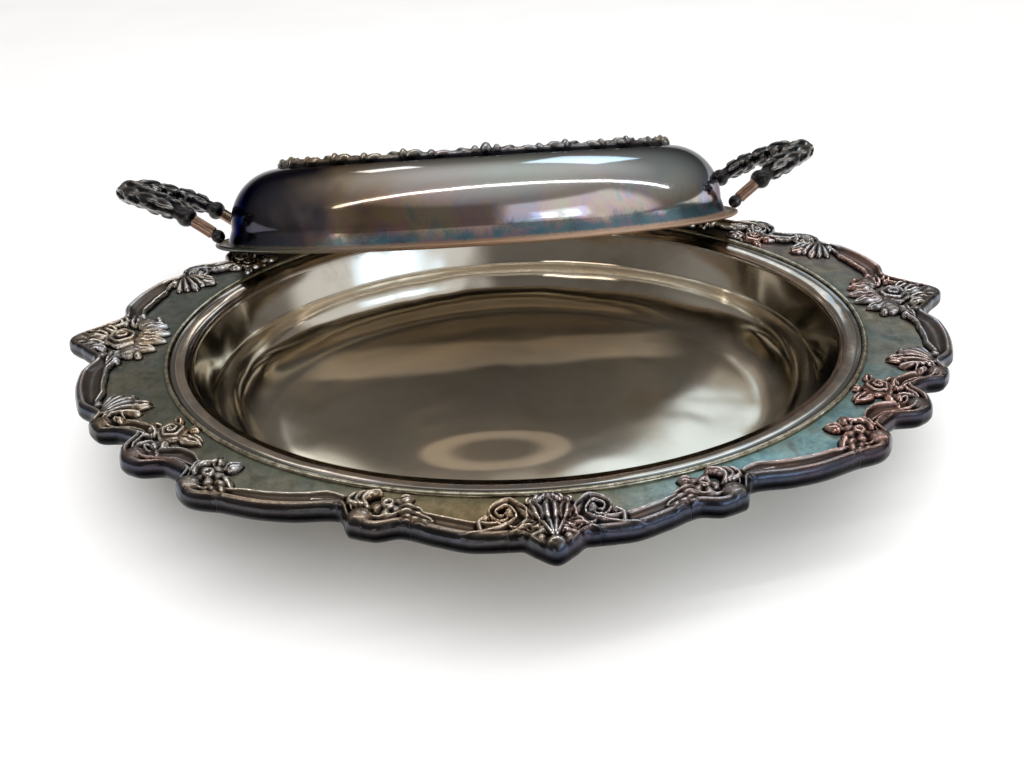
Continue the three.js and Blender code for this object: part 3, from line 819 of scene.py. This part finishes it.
def topRelief(angle, offset):
    # a low moulding with leaf scrolls that stand up where the cover's border is widest
    x, y = besideOval(topOval["length"], topOval["width"], angle, offset)
    r = Relief(np.abs(x), np.abs(y), besideTop)
    half = topOval["band"] / 2
    s = np.clip(np.abs(offset) / half, 0, 1)
    r.ground(4.3 * np.maximum(1 - s**2, 0) ** 0.5 - 1.0 * np.exp(-((s / 0.3) ** 2)))
    r.balls((90, 0, 4.4, 8.0), (87.2, 0.3, 3.2, 6.4))
    r.petals((86.5, 0, 186, 13, 6.5, 5.8, 0, 0.9), (2.2, 0, 0, 12, 6.4, 5.8, 0, 1.5))
    for middle, lift in ((76, 4.6), (68.5, 6.2), (57, 5.2), (47, 6.4), (35, 5.4), (24, 6.2), (12, 5.2)):
        r.petal((middle, 0.6), 4, 15, 7, lift + 0.4, curl=0.3, veins=0.9)
        r.petal((middle, -0.4), 184, 14, 6.6, lift, curl=-0.3, veins=0.9)
        r.ball((middle, 0.2), 3.4, lift + 1.0)
    r.rose((0, 0), 4.2, 7.6)
    return r.field()


def topCasting(name, fromDegrees, toDegrees, finish):
    # closed strip of relief standing on the cover's flat top
    low, high = math.radians(min(fromDegrees, toDegrees)), math.radians(max(fromDegrees, toDegrees))
    columns = max(16, int((high - low) * topOval["meanRadius"] / topOval["grid"]))
    half = topOval["band"] / 2 + topOval["skirt"]
    rows = int(half * 2 / topOval["grid"])
    angles = np.linspace(low, high, columns)
    offset = np.tile(np.linspace(-half, half, rows), (columns, 1))
    height = topRelief(np.repeat(angles[:, None], rows, 1), offset)
    # the same relief measure: wear and painted highlight on ridges, tarnish and painted shade in hollows
    wearAndShade = np.clip((height - boxBlur(height, 4)) / 1.1, -1, 1)
    height = boxBlur(height, 1)
    under = np.tile(np.linspace(half, -half, 5), (columns, 1))
    allOffset = np.concatenate([offset, under], 1)
    allHeight = np.concatenate([height, np.full(under.shape, -1.0)], 1)
    count = allOffset.shape[1]
    x, y = besideOval(topOval["length"], topOval["width"], np.repeat(angles[:, None], count, 1), allOffset)
    points = np.stack([x, y, allHeight + cover["dome"]], -1).reshape(-1, 3) * mm
    allWearAndShade = np.concatenate([wearAndShade, np.full(under.shape, -1.0)], 1)
    inward = np.full(allWearAndShade.shape, 0.01)
    return intoCover(closedStrip(name, points, allOffset, rows, allWearAndShade, inward, finish))


handle = {
    "reach": 64.0, "rise": 44.0, "spread": 41.0, "thick": 9.0, "inset": 6.2, "ball": 4.9, "footHeight": 5.7,
    "wide": 8.2, "deep": 5.6, "legWide": 5.0, "legDeep": 4.4, "legFrom": 0.7, "knob": 8.6, "knobAt": 0.71,
    "long": 480, "round": 72,
    # place along the half (0 is the tip), reach, share
    "swells": ((0.19, 0.07, 0.24), (0.36, 0.05, 0.12), (0.52, 0.06, 0.16)),
    # start from the tip, length, height
    "leaves": ((9, 19, 2.3), (24, 18, 2.1), (39, 17, 2.3), (52, 13, 2.0)),
    # start from the tip, place round the bar, radius
    "berries": ((13, 0, 4.6), (13.5, 9, 4.4), (30, 1.5, 3.8), (31, 10.5, 3.4), (46, 0, 3.4)),
}


def handlePath():
    a, b = coverHalf.x / mm, coverHalf.y / mm
    h = handle
    footX = a * math.cos(math.asin(h["spread"] / b)) - h["inset"]
    tipX = a + h["reach"] - h["thick"]
    shares = [(0, 1, 0), (0.18, 1 + 1 / h["spread"], 0.28), (0.42, 1, 0.58), (0.7, 0.86, 0.82),
              (0.92, 0.5, 0.96), (1, 0, 1)]
    half = [(footX + (tipX - footX) * along, -h["spread"] * side,
             h["footHeight"] + (h["rise"] - h["footHeight"]) * up)
            for along, side, up in shares]
    return catmull(half + [(x, -y, z) for x, y, z in half[-2::-1]], handle["long"])


def handleMesh(name, way, finish):
    h = handle
    path = handlePath()
    walked = np.concatenate([[0], np.cumsum(np.linalg.norm(np.diff(path, axis=0), axis=1))])
    whole = walked[-1]
    ahead = np.gradient(path, axis=0)
    ahead /= np.linalg.norm(ahead, axis=1)[:, None]
    broad = np.cross(ahead, [0, 0, 1.0])
    broad -= ahead * np.sum(broad * ahead, 1)[:, None]
    broad /= np.linalg.norm(broad, axis=1)[:, None]
    thin = np.cross(broad, ahead)
    m = np.abs(2 * walked / whole - 1)
    theta = np.linspace(0, 2 * math.pi, h["round"], endpoint=False)
    fromTip = (m * whole / 2)[:, None]
    turn = theta[None, :]
    ornate = 1 - np.clip((m - h["legFrom"]) / 0.05, 0, 1)
    ornate = (ornate * ornate * (3 - 2 * ornate))[:, None]
    lobes = 1 - 0.24 * np.exp(-((m / 0.07) ** 2))
    for middle, reach, share in h["swells"]:
        lobes = lobes + share * np.exp(-(((m - middle) / reach) ** 2))
    wide = h["wide"] * lobes[:, None] * ornate + h["legWide"] * (1 - ornate)
    deep = h["deep"] * lobes[:, None] * ornate + h["legDeep"] * (1 - ornate)
    r = Relief(fromTip + 0 * turn, ((turn + math.pi / 4) % math.pi - math.pi / 4) * 7 + 0 * fromTip, onStrip)
    for start, span, rise in h["leaves"]:
        r.petal((start, 3.4), 16, span, 8.5, rise, curl=-0.4, veins=0.9)
        r.petal((start + 1.5, -3.2), -14, span * 0.9, 8.0, rise * 0.9, curl=0.4, veins=0.9)
        r.petal((start + 3, 10.4), 10, span * 0.8, 7.5, rise, curl=0.3, veins=0.9)
    for place, side, size in h["berries"]:
        r.ball((place, side), size, size * 0.62)
    leaves = np.maximum(boxBlur(r.field(), 1), -0.4)
    smoothTip = 1 - 0.95 * np.exp(-((m / 0.075) ** 4))[:, None]
    knob = h["knob"] * np.maximum(1 - ((m[:, None] - h["knobAt"]) / 0.062) ** 2, 0) ** 0.5
    flutes = 0.3 * np.cos(5 * turn) * (1 - ornate)
    swell = leaves * ornate * smoothTip + flutes
    reachWide = np.maximum(wide + swell, knob)
    reachDeep = np.maximum(deep + swell, knob * 0.86)
    toEnd = np.minimum(walked, whole - walked)[:, None]
    bead = h["ball"]
    foot = np.maximum(bead**2 - np.clip(np.abs(toEnd - bead), 0, bead) ** 2, 0) ** 0.5
    isFoot = toEnd < bead * 1.75
    reachWide = np.where(isFoot, np.maximum(foot, np.where(toEnd > bead, reachWide * 0.8, 0)), reachWide)
    reachDeep = np.where(isFoot, np.maximum(foot, np.where(toEnd > bead, reachDeep * 0.8, 0)), reachDeep)
    ring = path[:, None, :] + broad[:, None, :] * (reachWide * np.cos(turn))[..., None]
    ring = ring + thin[:, None, :] * (reachDeep * np.sin(turn))[..., None]
    body = ring[1:-1].reshape(-1, 3)
    points = np.vstack([body, path[0], path[-1]]) * mm
    rows, count = h["long"] - 2, h["round"]
    faces = tubeFaces(rows, count)
    for k in range(count):
        nextK = (k + 1) % count
        faces.append([len(body), nextK, k])
        faces.append([len(body) + 1, (rows - 1) * count + k, (rows - 1) * count + nextK])
    # the same relief measure: wear and painted highlight on ridges, tarnish and painted shade in hollows
    wearAndShade = np.clip((swell - boxBlur(swell, 5)) / 0.7, -1, 1)
    wearAndShade = np.concatenate([(wearAndShade + 0 * turn)[1:-1].ravel(), [0, 0]])
    smooth = (1 - ornate) * (m[:, None] > 0.765) * (toEnd > bead * 1.7)
    leg = np.concatenate([(smooth + 0 * turn)[1:-1].ravel(), [0, 0]])
    points[:, 0] *= way
    piece = meshObject(name, points, faces, finish, {"wearAndShade": wearAndShade, "leg": leg})
    outwards(piece.data)
    return intoCover(piece)


# finishes: old silver plate, tarnished in different ways from place to place, with painted reflections,
# highlights and shade in the colour

def lerpColor(first, second, share):
    return tuple(a + (b - a) * share for a, b in zip(first, second))


def castFinish(name, dark, middle, bright, tints):
    f = Finish(name, Metallic=1.0)
    place = f.objectPlace()
    wearAndShade = f.attribute("wearAndShade")
    inward = f.attribute("inward")
    patches = f.noise(place, 26.0, 3, 0.6, 0.6)
    specks = f.noise(place, 420.0, 4, 0.65)
    # tone follows the relief: tarnish and painted shade in hollows, wear and painted highlight on ridges
    level = wearAndShade * 0.5 + 0.46 + (patches - 0.5) * 0.35 + (specks - 0.5) * 0.25
    tone = f.ramp(level, [(0.1, dark), (0.48, middle), (0.66, lerpColor(middle, bright, 0.45)),
                          (0.86, bright)])
    across = f.add("SeparateXYZ", output=0, Vector=place)
    hue = f.ramp(f.noise(place, 9.0, 2, 0.5, 1.2) + across * 0.35,
                 [(0.3, tints[0]), (0.44, tints[1]), (0.56, tints[2]), (0.7, tints[3])])
    tone = f.mix(0.72, tone, f.times(tone, hue))
    # painted dark reflection: the rolled outer edge is darkened and tinted navy
    rolled = inward.between(0.0015, 0.0046)
    tone = f.mix(rolled, f.times(tone, (0.10, 0.12, 0.17)), tone)
    f.feed("Base Color", tone)
    f.feed("Roughness", (1 - level).between(0.0, 1.1) * 0.24 + 0.17)
    f.bump(specks, 0.25, 0.0004)
    return f.material


def borderFinish():
    f = Finish("dishPlate", Metallic=1.0)
    place = f.objectPlace()
    beyond = f.attribute("beyond")
    x, y, z = (f.add("SeparateXYZ", output=k, Vector=place) for k in range(3))
    slow = f.noise(place, 7.0, 3, 0.55, 0.8)
    fine = f.noise(place, 260.0, 4, 0.7)
    blotch = f.noise(place, 38.0, 4, 0.62, 0.8)
    mood = slow * 0.6 + blotch * 0.4
    olive = f.ramp(mood, [(0.34, (0.16, 0.175, 0.145)), (0.46, (0.27, 0.25, 0.18)),
                          (0.54, (0.20, 0.225, 0.20)), (0.66, (0.34, 0.28, 0.20))])
    teal = (x + (blotch - 0.5) * 0.05).between(0.02, 0.09)
    teal = teal * (y * -1 + (slow - 0.5) * 0.06).between(0.02, 0.14)
    flat = f.mix(teal * 0.8, olive,
                 f.ramp(blotch, [(0.35, (0.10, 0.25, 0.29)), (0.5, (0.24, 0.38, 0.37)),
                                 (0.66, (0.16, 0.22, 0.20))]))
    gold = (x + 0.035 + (blotch - 0.5) * 0.03).math("ABSOLUTE").between(0.09, 0.02)
    gold = gold * (y * -1).between(0.1, 0.16)
    flat = f.mix(gold * 0.85, flat,
                 f.ramp(blotch, [(0.35, (0.16, 0.12, 0.06)), (0.5, (0.30, 0.21, 0.10)),
                                 (0.66, (0.38, 0.29, 0.15))]))
    plum = x.between(0.08, 0.19) * (y + (blotch - 0.5) * 0.06).between(0.0, 0.1)
    flat = f.mix(plum * 0.7, flat, (0.20, 0.135, 0.115))
    # painted shade: the border's flat is brightened towards the right and darkened towards the left
    paintedSideShade = f.ramp((x * -1).between(-0.05, 0.16), [(0.0, (1.3, 1.32, 1.34)), (1.0, (0.86, 0.88, 0.92))])
    flat = f.times(flat, paintedSideShade)
    grain = f.noise(place, 130.0, 5, 0.72, 0.4)
    flat = f.times(flat, f.ramp(grain, [(0.36, (0.62, 0.62, 0.62)), (0.6, (1.12, 1.12, 1.12))]))
    nearBead = beyond.between(0.009, 0.0015)
    flat = f.mix(nearBead * 0.4, flat, (0.07, 0.11, 0.075))
    flat = f.mix((fine - 0.3) * 0.35, flat, (0.06, 0.055, 0.04))
    wall = f.ramp(z + (slow - 0.5) * 0.02,
                  [(0.002, (0.50, 0.44, 0.35)), (0.009, (0.70, 0.65, 0.56)), (0.052, (0.80, 0.76, 0.68))])
    # painted reflections in the well floor's colour: a champagne ring in front and a band along the back,
    # which also lower the metallic there
    onFloor = z.between(0.004, 0.0016)
    ring = ((x + 0.018) * (x + 0.018) + (y + 0.052) * (y + 0.052) * 6.2).math("SQRT") + (slow - 0.5) * 0.012
    halo = ring.between(0.02, 0.034) * ring.between(0.05, 0.042)
    stripe = (y - 0.056 + (slow - 0.5) * 0.03).math("ABSOLUTE").between(0.022, 0.013)
    stripe = stripe * x.between(-0.155, -0.125) * x.between(0.13, 0.09)
    paintedReflection = (halo * 0.55 + stripe * 0.75) * onFloor
    wall = f.mix(paintedReflection, wall, (0.90, 0.72, 0.50))
    rings = f.noise(f.objectPlace(scale=(1, 1.4, 1)), 18.0, 5.0, 0.6)
    wall = f.mix(rings.between(0.52, 0.7) * 0.35, wall, (0.42, 0.30, 0.16))
    ledge = f.ramp(blotch, [(0.3, (0.07, 0.10, 0.13)), (0.46, (0.24, 0.17, 0.12)),
                            (0.6, (0.40, 0.30, 0.22)), (0.72, (0.20, 0.13, 0.13))])
    onLedge = (beyond * -1).between(0.0042, 0.0052) * beyond.between(-0.0142, -0.0128)
    wall = f.mix(onLedge * 0.75, wall, ledge)
    isWell = (beyond * -1).between(0.0012, 0.0022)
    groove = (beyond * -1).between(0.001, 0.0018) * beyond.between(-0.0048, -0.0042)
    tone = f.mix(isWell, flat, wall)
    tone = f.mix(groove * 0.8, tone, (0.06, 0.05, 0.045))
    f.feed("Base Color", tone)
    floor = z.between(0.012, 0.0018) * isWell
    f.feed("Metallic", 1 - floor * 0.1 - (1 - isWell) * 0.05 - paintedReflection * 0.2)
    f.feed("Roughness", isWell * -0.2 + 0.28 + floor * 0.07 + fine * 0.06)
    brushed = f.noise(f.objectPlace(scale=(1, 14, 1)), 320.0, 2, 0.5)
    waves = f.noise(place, 16.0, 1, 0.4, 0.5)
    f.bump(brushed * (1 - isWell) * 0.07 + waves * isWell * 2.2 + fine * 0.012, 1.0, 0.001)
    return f.material


def coverFinish():
    # the dark specular tint holds back white edges at grazing angles
    f = Finish("coverPlate", Metallic=1.0, Specular_Tint=(0.30, 0.29, 0.30, 1))
    place = f.objectPlace()
    along, height = f.attribute("along"), f.attribute("height")
    slow = f.noise(place, 9.0, 3, 0.55, 1.0)
    cloud = f.noise(place, 42.0, 5, 0.65, 0.6)
    fine = f.noise(place, 520.0, 3, 0.7)
    # painted reflections along the dome's length: navy at the left end, through copper, silver and pale blue,
    # to dark red at the right end
    sweep = along * 0.5 + 0.5 + (slow - 0.5) * 0.35
    tone = f.ramp(sweep, [(0.06, (0.035, 0.05, 0.095)), (0.17, (0.09, 0.09, 0.11)),
                          (0.27, (0.48, 0.36, 0.24)),
                          (0.4, (0.66, 0.60, 0.58)), (0.54, (0.66, 0.74, 0.68)), (0.7, (0.86, 0.82, 0.86)),
                          (0.85, (0.74, 0.92, 0.98)), (0.97, (0.36, 0.20, 0.21))])
    # painted reflection: the dome's upper part is greyed
    up = height.between(0.02, 0.046) * sweep.between(0.1, 0.5)
    tone = f.mix(up * 0.5, tone, (0.36, 0.38, 0.37))
    veil = f.noise(place, 24.0, 4, 0.6, 1.4)
    low = height.between(0.044, 0.012)
    clouds = f.ramp(veil, [(0.3, (0.12, 0.30, 0.42)), (0.42, (0.56, 0.46, 0.24)), (0.5, (0.60, 0.30, 0.32)),
                           (0.58, (0.34, 0.24, 0.50)), (0.7, (0.36, 0.56, 0.50))])
    tone = f.mix(low * sweep.between(0.12, 0.34) * 0.6, tone, clouds)
    # painted reflection: an uneven dark blue band low on the dome
    band = (height + (cloud - 0.5) * 0.016 + (fine - 0.5) * 0.006 - along * 0.004).between(0.014, 0.006)
    band = band * sweep.between(0.1, 0.3)
    tone = f.mix(band * 0.85, tone,
                 f.ramp(cloud, [(0.35, (0.03, 0.08, 0.15)), (0.5, (0.05, 0.20, 0.26)),
                                (0.62, (0.22, 0.16, 0.24))]))
    # painted highlight along the foot of the dome: dull olive at the left end, bright copper at the right
    paintedRimHighlight = (height + (fine - 0.5) * 0.003).between(0.0046, 0.0026)
    tone = f.mix(paintedRimHighlight * 0.85, tone,
                 f.ramp(along * 0.5 + 0.5,
                        [(0.1, (0.22, 0.23, 0.19)), (0.45, (0.45, 0.26, 0.14)), (0.8, (0.85, 0.58, 0.42))]))
    tone = f.mix(f.attribute("inside"), tone, (0.62, 0.55, 0.44))
    f.feed("Base Color", tone)
    f.feed("Roughness", band * 0.2 + 0.07 + fine * 0.05 + paintedRimHighlight * 0.14)
    f.bump(f.noise(place, 15.0, 2, 0.5) * 2.0 + fine * 0.06, 0.22, 0.0006)
    return f.material


def handleFinish():
    f = Finish("handleCasting", Metallic=1.0)
    place = f.objectPlace()
    wearAndShade, leg = f.attribute("wearAndShade"), f.attribute("leg")
    specks = f.noise(place, 380.0, 4, 0.65)
    patches = f.noise(place, 40.0, 3, 0.6, 0.6)
    # tone follows the relief: tarnish and painted shade in hollows, wear and painted highlight on ridges
    level = wearAndShade * 0.42 + 0.46 + (patches - 0.5) * 0.4 + (specks - 0.5) * 0.25
    ornate = f.ramp(level, [(0.2, (0.008, 0.009, 0.011)), (0.52, (0.055, 0.052, 0.052)),
                            (0.9, (0.40, 0.38, 0.36))])
    smooth = f.ramp(level, [(0.25, (0.05, 0.032, 0.026)), (0.5, (0.22, 0.13, 0.09)),
                            (0.75, (0.56, 0.44, 0.34))])
    f.feed("Base Color", f.mix(leg, ornate, smooth))
    f.feed("Roughness", (1 - level) * 0.22 + 0.18)
    f.bump(specks, 0.25, 0.0004)
    return f.material


def beadFinish():
    f = Finish("beadPlate", Metallic=1.0)
    fine = f.noise(f.objectPlace(), 240.0, 3, 0.6)
    tone = f.ramp(fine, [(0.3, (0.22, 0.20, 0.14)), (0.5, (0.42, 0.39, 0.30)), (0.7, (0.60, 0.57, 0.48))])
    f.feed("Base Color", tone)
    f.feed("Roughness", fine * 0.1 + 0.12)
    return f.material


borderMetal, coverMetal, handleMetal, beadMetal = borderFinish(), coverFinish(), handleFinish(), beadFinish()
castTints = [(1.0, 0.74, 0.52), (1.0, 0.92, 0.80), (0.72, 0.82, 1.0), (1.0, 0.66, 0.66)]
castMetal = castFinish("borderCasting", (0.011, 0.011, 0.012), (0.19, 0.15, 0.12), (0.84, 0.78, 0.70),
                       castTints)
topMetal = castFinish("topCasting", (0.008, 0.008, 0.010), (0.085, 0.078, 0.074), (0.50, 0.47, 0.43),
                      castTints)
print("finishes made")

# the dish
shell = ovalSweep("dishShell", dishProfile(), halfLength, halfWidth, 720, borderMetal)
stretchBorder(shell)
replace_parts(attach(shell, "dish"), "dish_shell")

beadWide, beadTall = dish["beadWidth"] / 2, dish["beadHeight"]
beadProfile = [(beadWide * math.cos(t) * mm, 0, (topZ - 0.2 + (beadTall + 0.2) * math.sin(t)) * mm)
               for t in np.linspace(0, math.pi, 15)]
beadProfile.append(beadProfile[0])
bead = ovalSweep("wellBead", beadProfile, halfLength, halfWidth, 480, beadMetal)
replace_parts(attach(bead, "dish"), "well_bead")
print("dish sheet and bead made")

castings = {
    "shoulder_moulding": (85.2, 74.6, 32), "inner_spray": (74.6, 65.6, 27), "long_moulding": (65.6, 51.4, 20),
    "outer_spray": (51.4, 43.8, 30), "corner_scroll": (43.8, 32, 38), "side_scroll": (32, 24.6, 34),
    "shell_spray": (24.6, 18.6, 30), "end_moulding": (18.6, 6.6, 40),
}
# each quarter's angles: start, and the way they run
quarters = {"front_right": (0, -1), "front_left": (180, 1), "back_right": (0, 1), "back_left": (180, -1)}
for quarter, (base, way) in quarters.items():
    for part, (start, end, reach) in castings.items():
        start, end = base + way * start, base + way * end
        piece = castingMesh(quarter + "_" + part + "_cast", start, end, reach, castMetal)
        nodes = [quarter + "_" + part] + ([quarter + "_rose"] if part == "corner_scroll" else [])
        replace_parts(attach(piece, "dish"), *nodes)
middles = {"back_cartouche": (94.8, 85.2, 40), "front_cartouche": (-85.2, -94.8, 40),
           "right_end_spray": (6.6, -6.6, 62), "left_end_spray": (186.6, 173.4, 62)}
for part, (start, end, reach) in middles.items():
    piece = castingMesh(part + "_cast", start, end, reach, castMetal)
    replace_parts(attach(piece, "dish"), part)
print("border castings made")

# the cover
dome = ovalSweep("coverShell", coverProfile(), coverHalf.x, coverHalf.y, 640, coverMetal)
place = vertexPlaces(dome.data)
facing = np.array([v.normal for v in dome.data.vertices])
inside = np.sum(facing * (place - [0, 0, 0.012]), 1) < 0
for key, values in (("along", place[:, 0] / coverHalf.x), ("height", place[:, 2]), ("inside", inside)):
    layer = dome.data.attributes.new(key, "FLOAT", "POINT")
    layer.data.foreach_set("value", values.astype(np.float32))
intoCover(dome)
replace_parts(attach(dome, "cover"), "cover_shell")

tops = {
    "top_back_cartouche": (83, 97), "top_front_cartouche": (-97, -83),
    "top_right_cartouche": (-9, 9), "top_left_cartouche": (171, 189),
    "top_right_back_moulding": (9, 83), "top_left_back_moulding": (97, 171),
    "top_left_front_moulding": (189, 263), "top_right_front_moulding": (-83, -9),
}
for part, (start, end) in tops.items():
    piece = topCasting(part + "_cast", start, end, topMetal)
    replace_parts(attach(piece, "cover"), part)
for part, way in (("right_handle", 1), ("left_handle", -1)):
    piece = handleMesh(part + "_cast", way, handleMetal)
    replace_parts(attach(piece, "cover"), part)
print("cover made")


def addFloor():
    points = [(-30, -30, 0), (30, -30, 0), (30, 30, 0), (-30, 30, 0)]
    f = Finish("paleFloor", Roughness=0.55)
    patches = f.noise(f.objectPlace(), 3.0, 2, 0.5)
    f.feed("Base Color", f.ramp(patches, [(0.3, (0.80, 0.80, 0.80)), (0.7, (0.84, 0.84, 0.84))]))
    floor = meshObject("floor", points, [[0, 1, 2, 3]], f.material)


def addLight(name, place, target, size, power, color=(1, 1, 1), turn=0):
    lamp = bpy.data.lights.new(name, "AREA")
    lamp.shape = "RECTANGLE"
    lamp.size, lamp.size_y = size
    lamp.energy = power
    lamp.color = color
    holder = linked(name, lamp)
    way = Vector(target) - Vector(place)
    aim = way.to_track_quat("-Z", "Y").to_matrix().to_4x4()
    rolled = Matrix.Rotation(math.radians(turn), 4, "Z")
    holder.matrix_world = Matrix.Translation(Vector(place)) @ aim @ rolled
    return holder


def addWorld():
    # a dim warm room, brighter overhead, behind the dish and on the right in front
    world = bpy.data.worlds.new("room")
    bpy.context.scene.world = world
    world.use_nodes = True
    tree = world.node_tree

    def made(kind, **inputs):
        return addNode(tree, "ShaderNode" + kind, **inputs)

    way = Wire(tree, made("TexCoord").outputs["Generated"])
    x, y, z = (Wire(tree, made("SeparateXYZ", Vector=way).outputs[k]) for k in range(3))
    behind = y.between(-0.1, 0.7) * z.between(0.5, 0.85) * (x * 0.35 + 0.85)
    above = z.between(0.75, 1.0)
    front = (y * -1).between(0.15, 0.3) * z.between(0.02, 0.1)
    shade = front * x.between(0.16, 0.1) * x.between(-0.9, -0.6) * z.between(0.8, 0.7)
    wall = front * x.between(0.16, 0.22) * z.between(0.72, 0.66)
    level = behind * room["behind"] + above * room["above"]
    level = level + z.between(-0.2, 0.5) * room["side"] + room["least"]
    level = level * (1 - shade * room["shade"]) + wall * room["wall"]
    # the camera itself sees a plain pale backdrop
    seen = Wire(tree, made("LightPath").outputs["Is Camera Ray"])
    color = made("ValToRGB", Fac=level + seen)
    fillRamp(color.color_ramp, ((0.0, (1.0, 0.90, 0.79)), (0.8, (1.0, 1.0, 1.0))))
    background = tree.nodes["Background"]
    tree.links.new(color.outputs[0], background.inputs["Color"])
    tree.links.new((level * (1 - seen) + seen * room["backdrop"]).socket, background.inputs["Strength"])


room = {"behind": 0.5, "above": 0.25, "side": 0.18, "least": 0.10, "shade": 0.52, "wall": 0.48,
        "backdrop": 0.9}
addFloor()
addWorld()
# a wide soft lamp lights the floor; it and the front light don't show in the mirror-like plate
softSky = {"angle": 1.4, "energy": 2.6}
sun = bpy.data.lights.new("softSky", "SUN")
sun.angle, sun.energy = softSky["angle"], softSky["energy"]
sky = linked("softSky", sun)
sky.visible_glossy = False
addLight("front", (0.5, -1.5, 1.2), (0, 0, 0), (1.0, 0.8), 8).visible_glossy = False
# cards that the plate mirrors: name, place, size, power, colour
cards = [
    ("backCard", (0.56, 1.2, 1.15), (0.55, 0.5), 1.6, (0.62, 0.82, 1)),
    ("backLeftCard", (-0.43, 1.3, 1.12), (0.3, 0.2), 0.5, (0.9, 0.97, 1)),
    ("window", (0.8, -1.1, 0.6), (0.6, 0.42), 0.6, (0.46, 0.72, 1)),
    ("paneLeft", (0.66, -1.12, 0.58), (0.12, 0.22), 0.24, (0.7, 0.86, 1)),
    ("paneRight", (0.86, -1.0, 0.58), (0.12, 0.22), 0.24, (0.7, 0.86, 1)),
    ("lowCard", (-0.5, -1.5, 0.3), (0.5, 0.12), 0.6, (1, 0.86, 0.74)),
]
for name, spot, size, power, color in cards:
    addLight(name, spot, (0, 0.05, 0.03), size, power, color)
# a long thin lamp overhead, seen as the bright line along the dome
addLight("strip", (0.75, 0.02, 1.2), (0.75, 0.02, 0), (4.4, 0.04), 5.5, turn=9)
bpy.context.scene.view_settings.view_transform = "Standard"
print("floor and lights set")
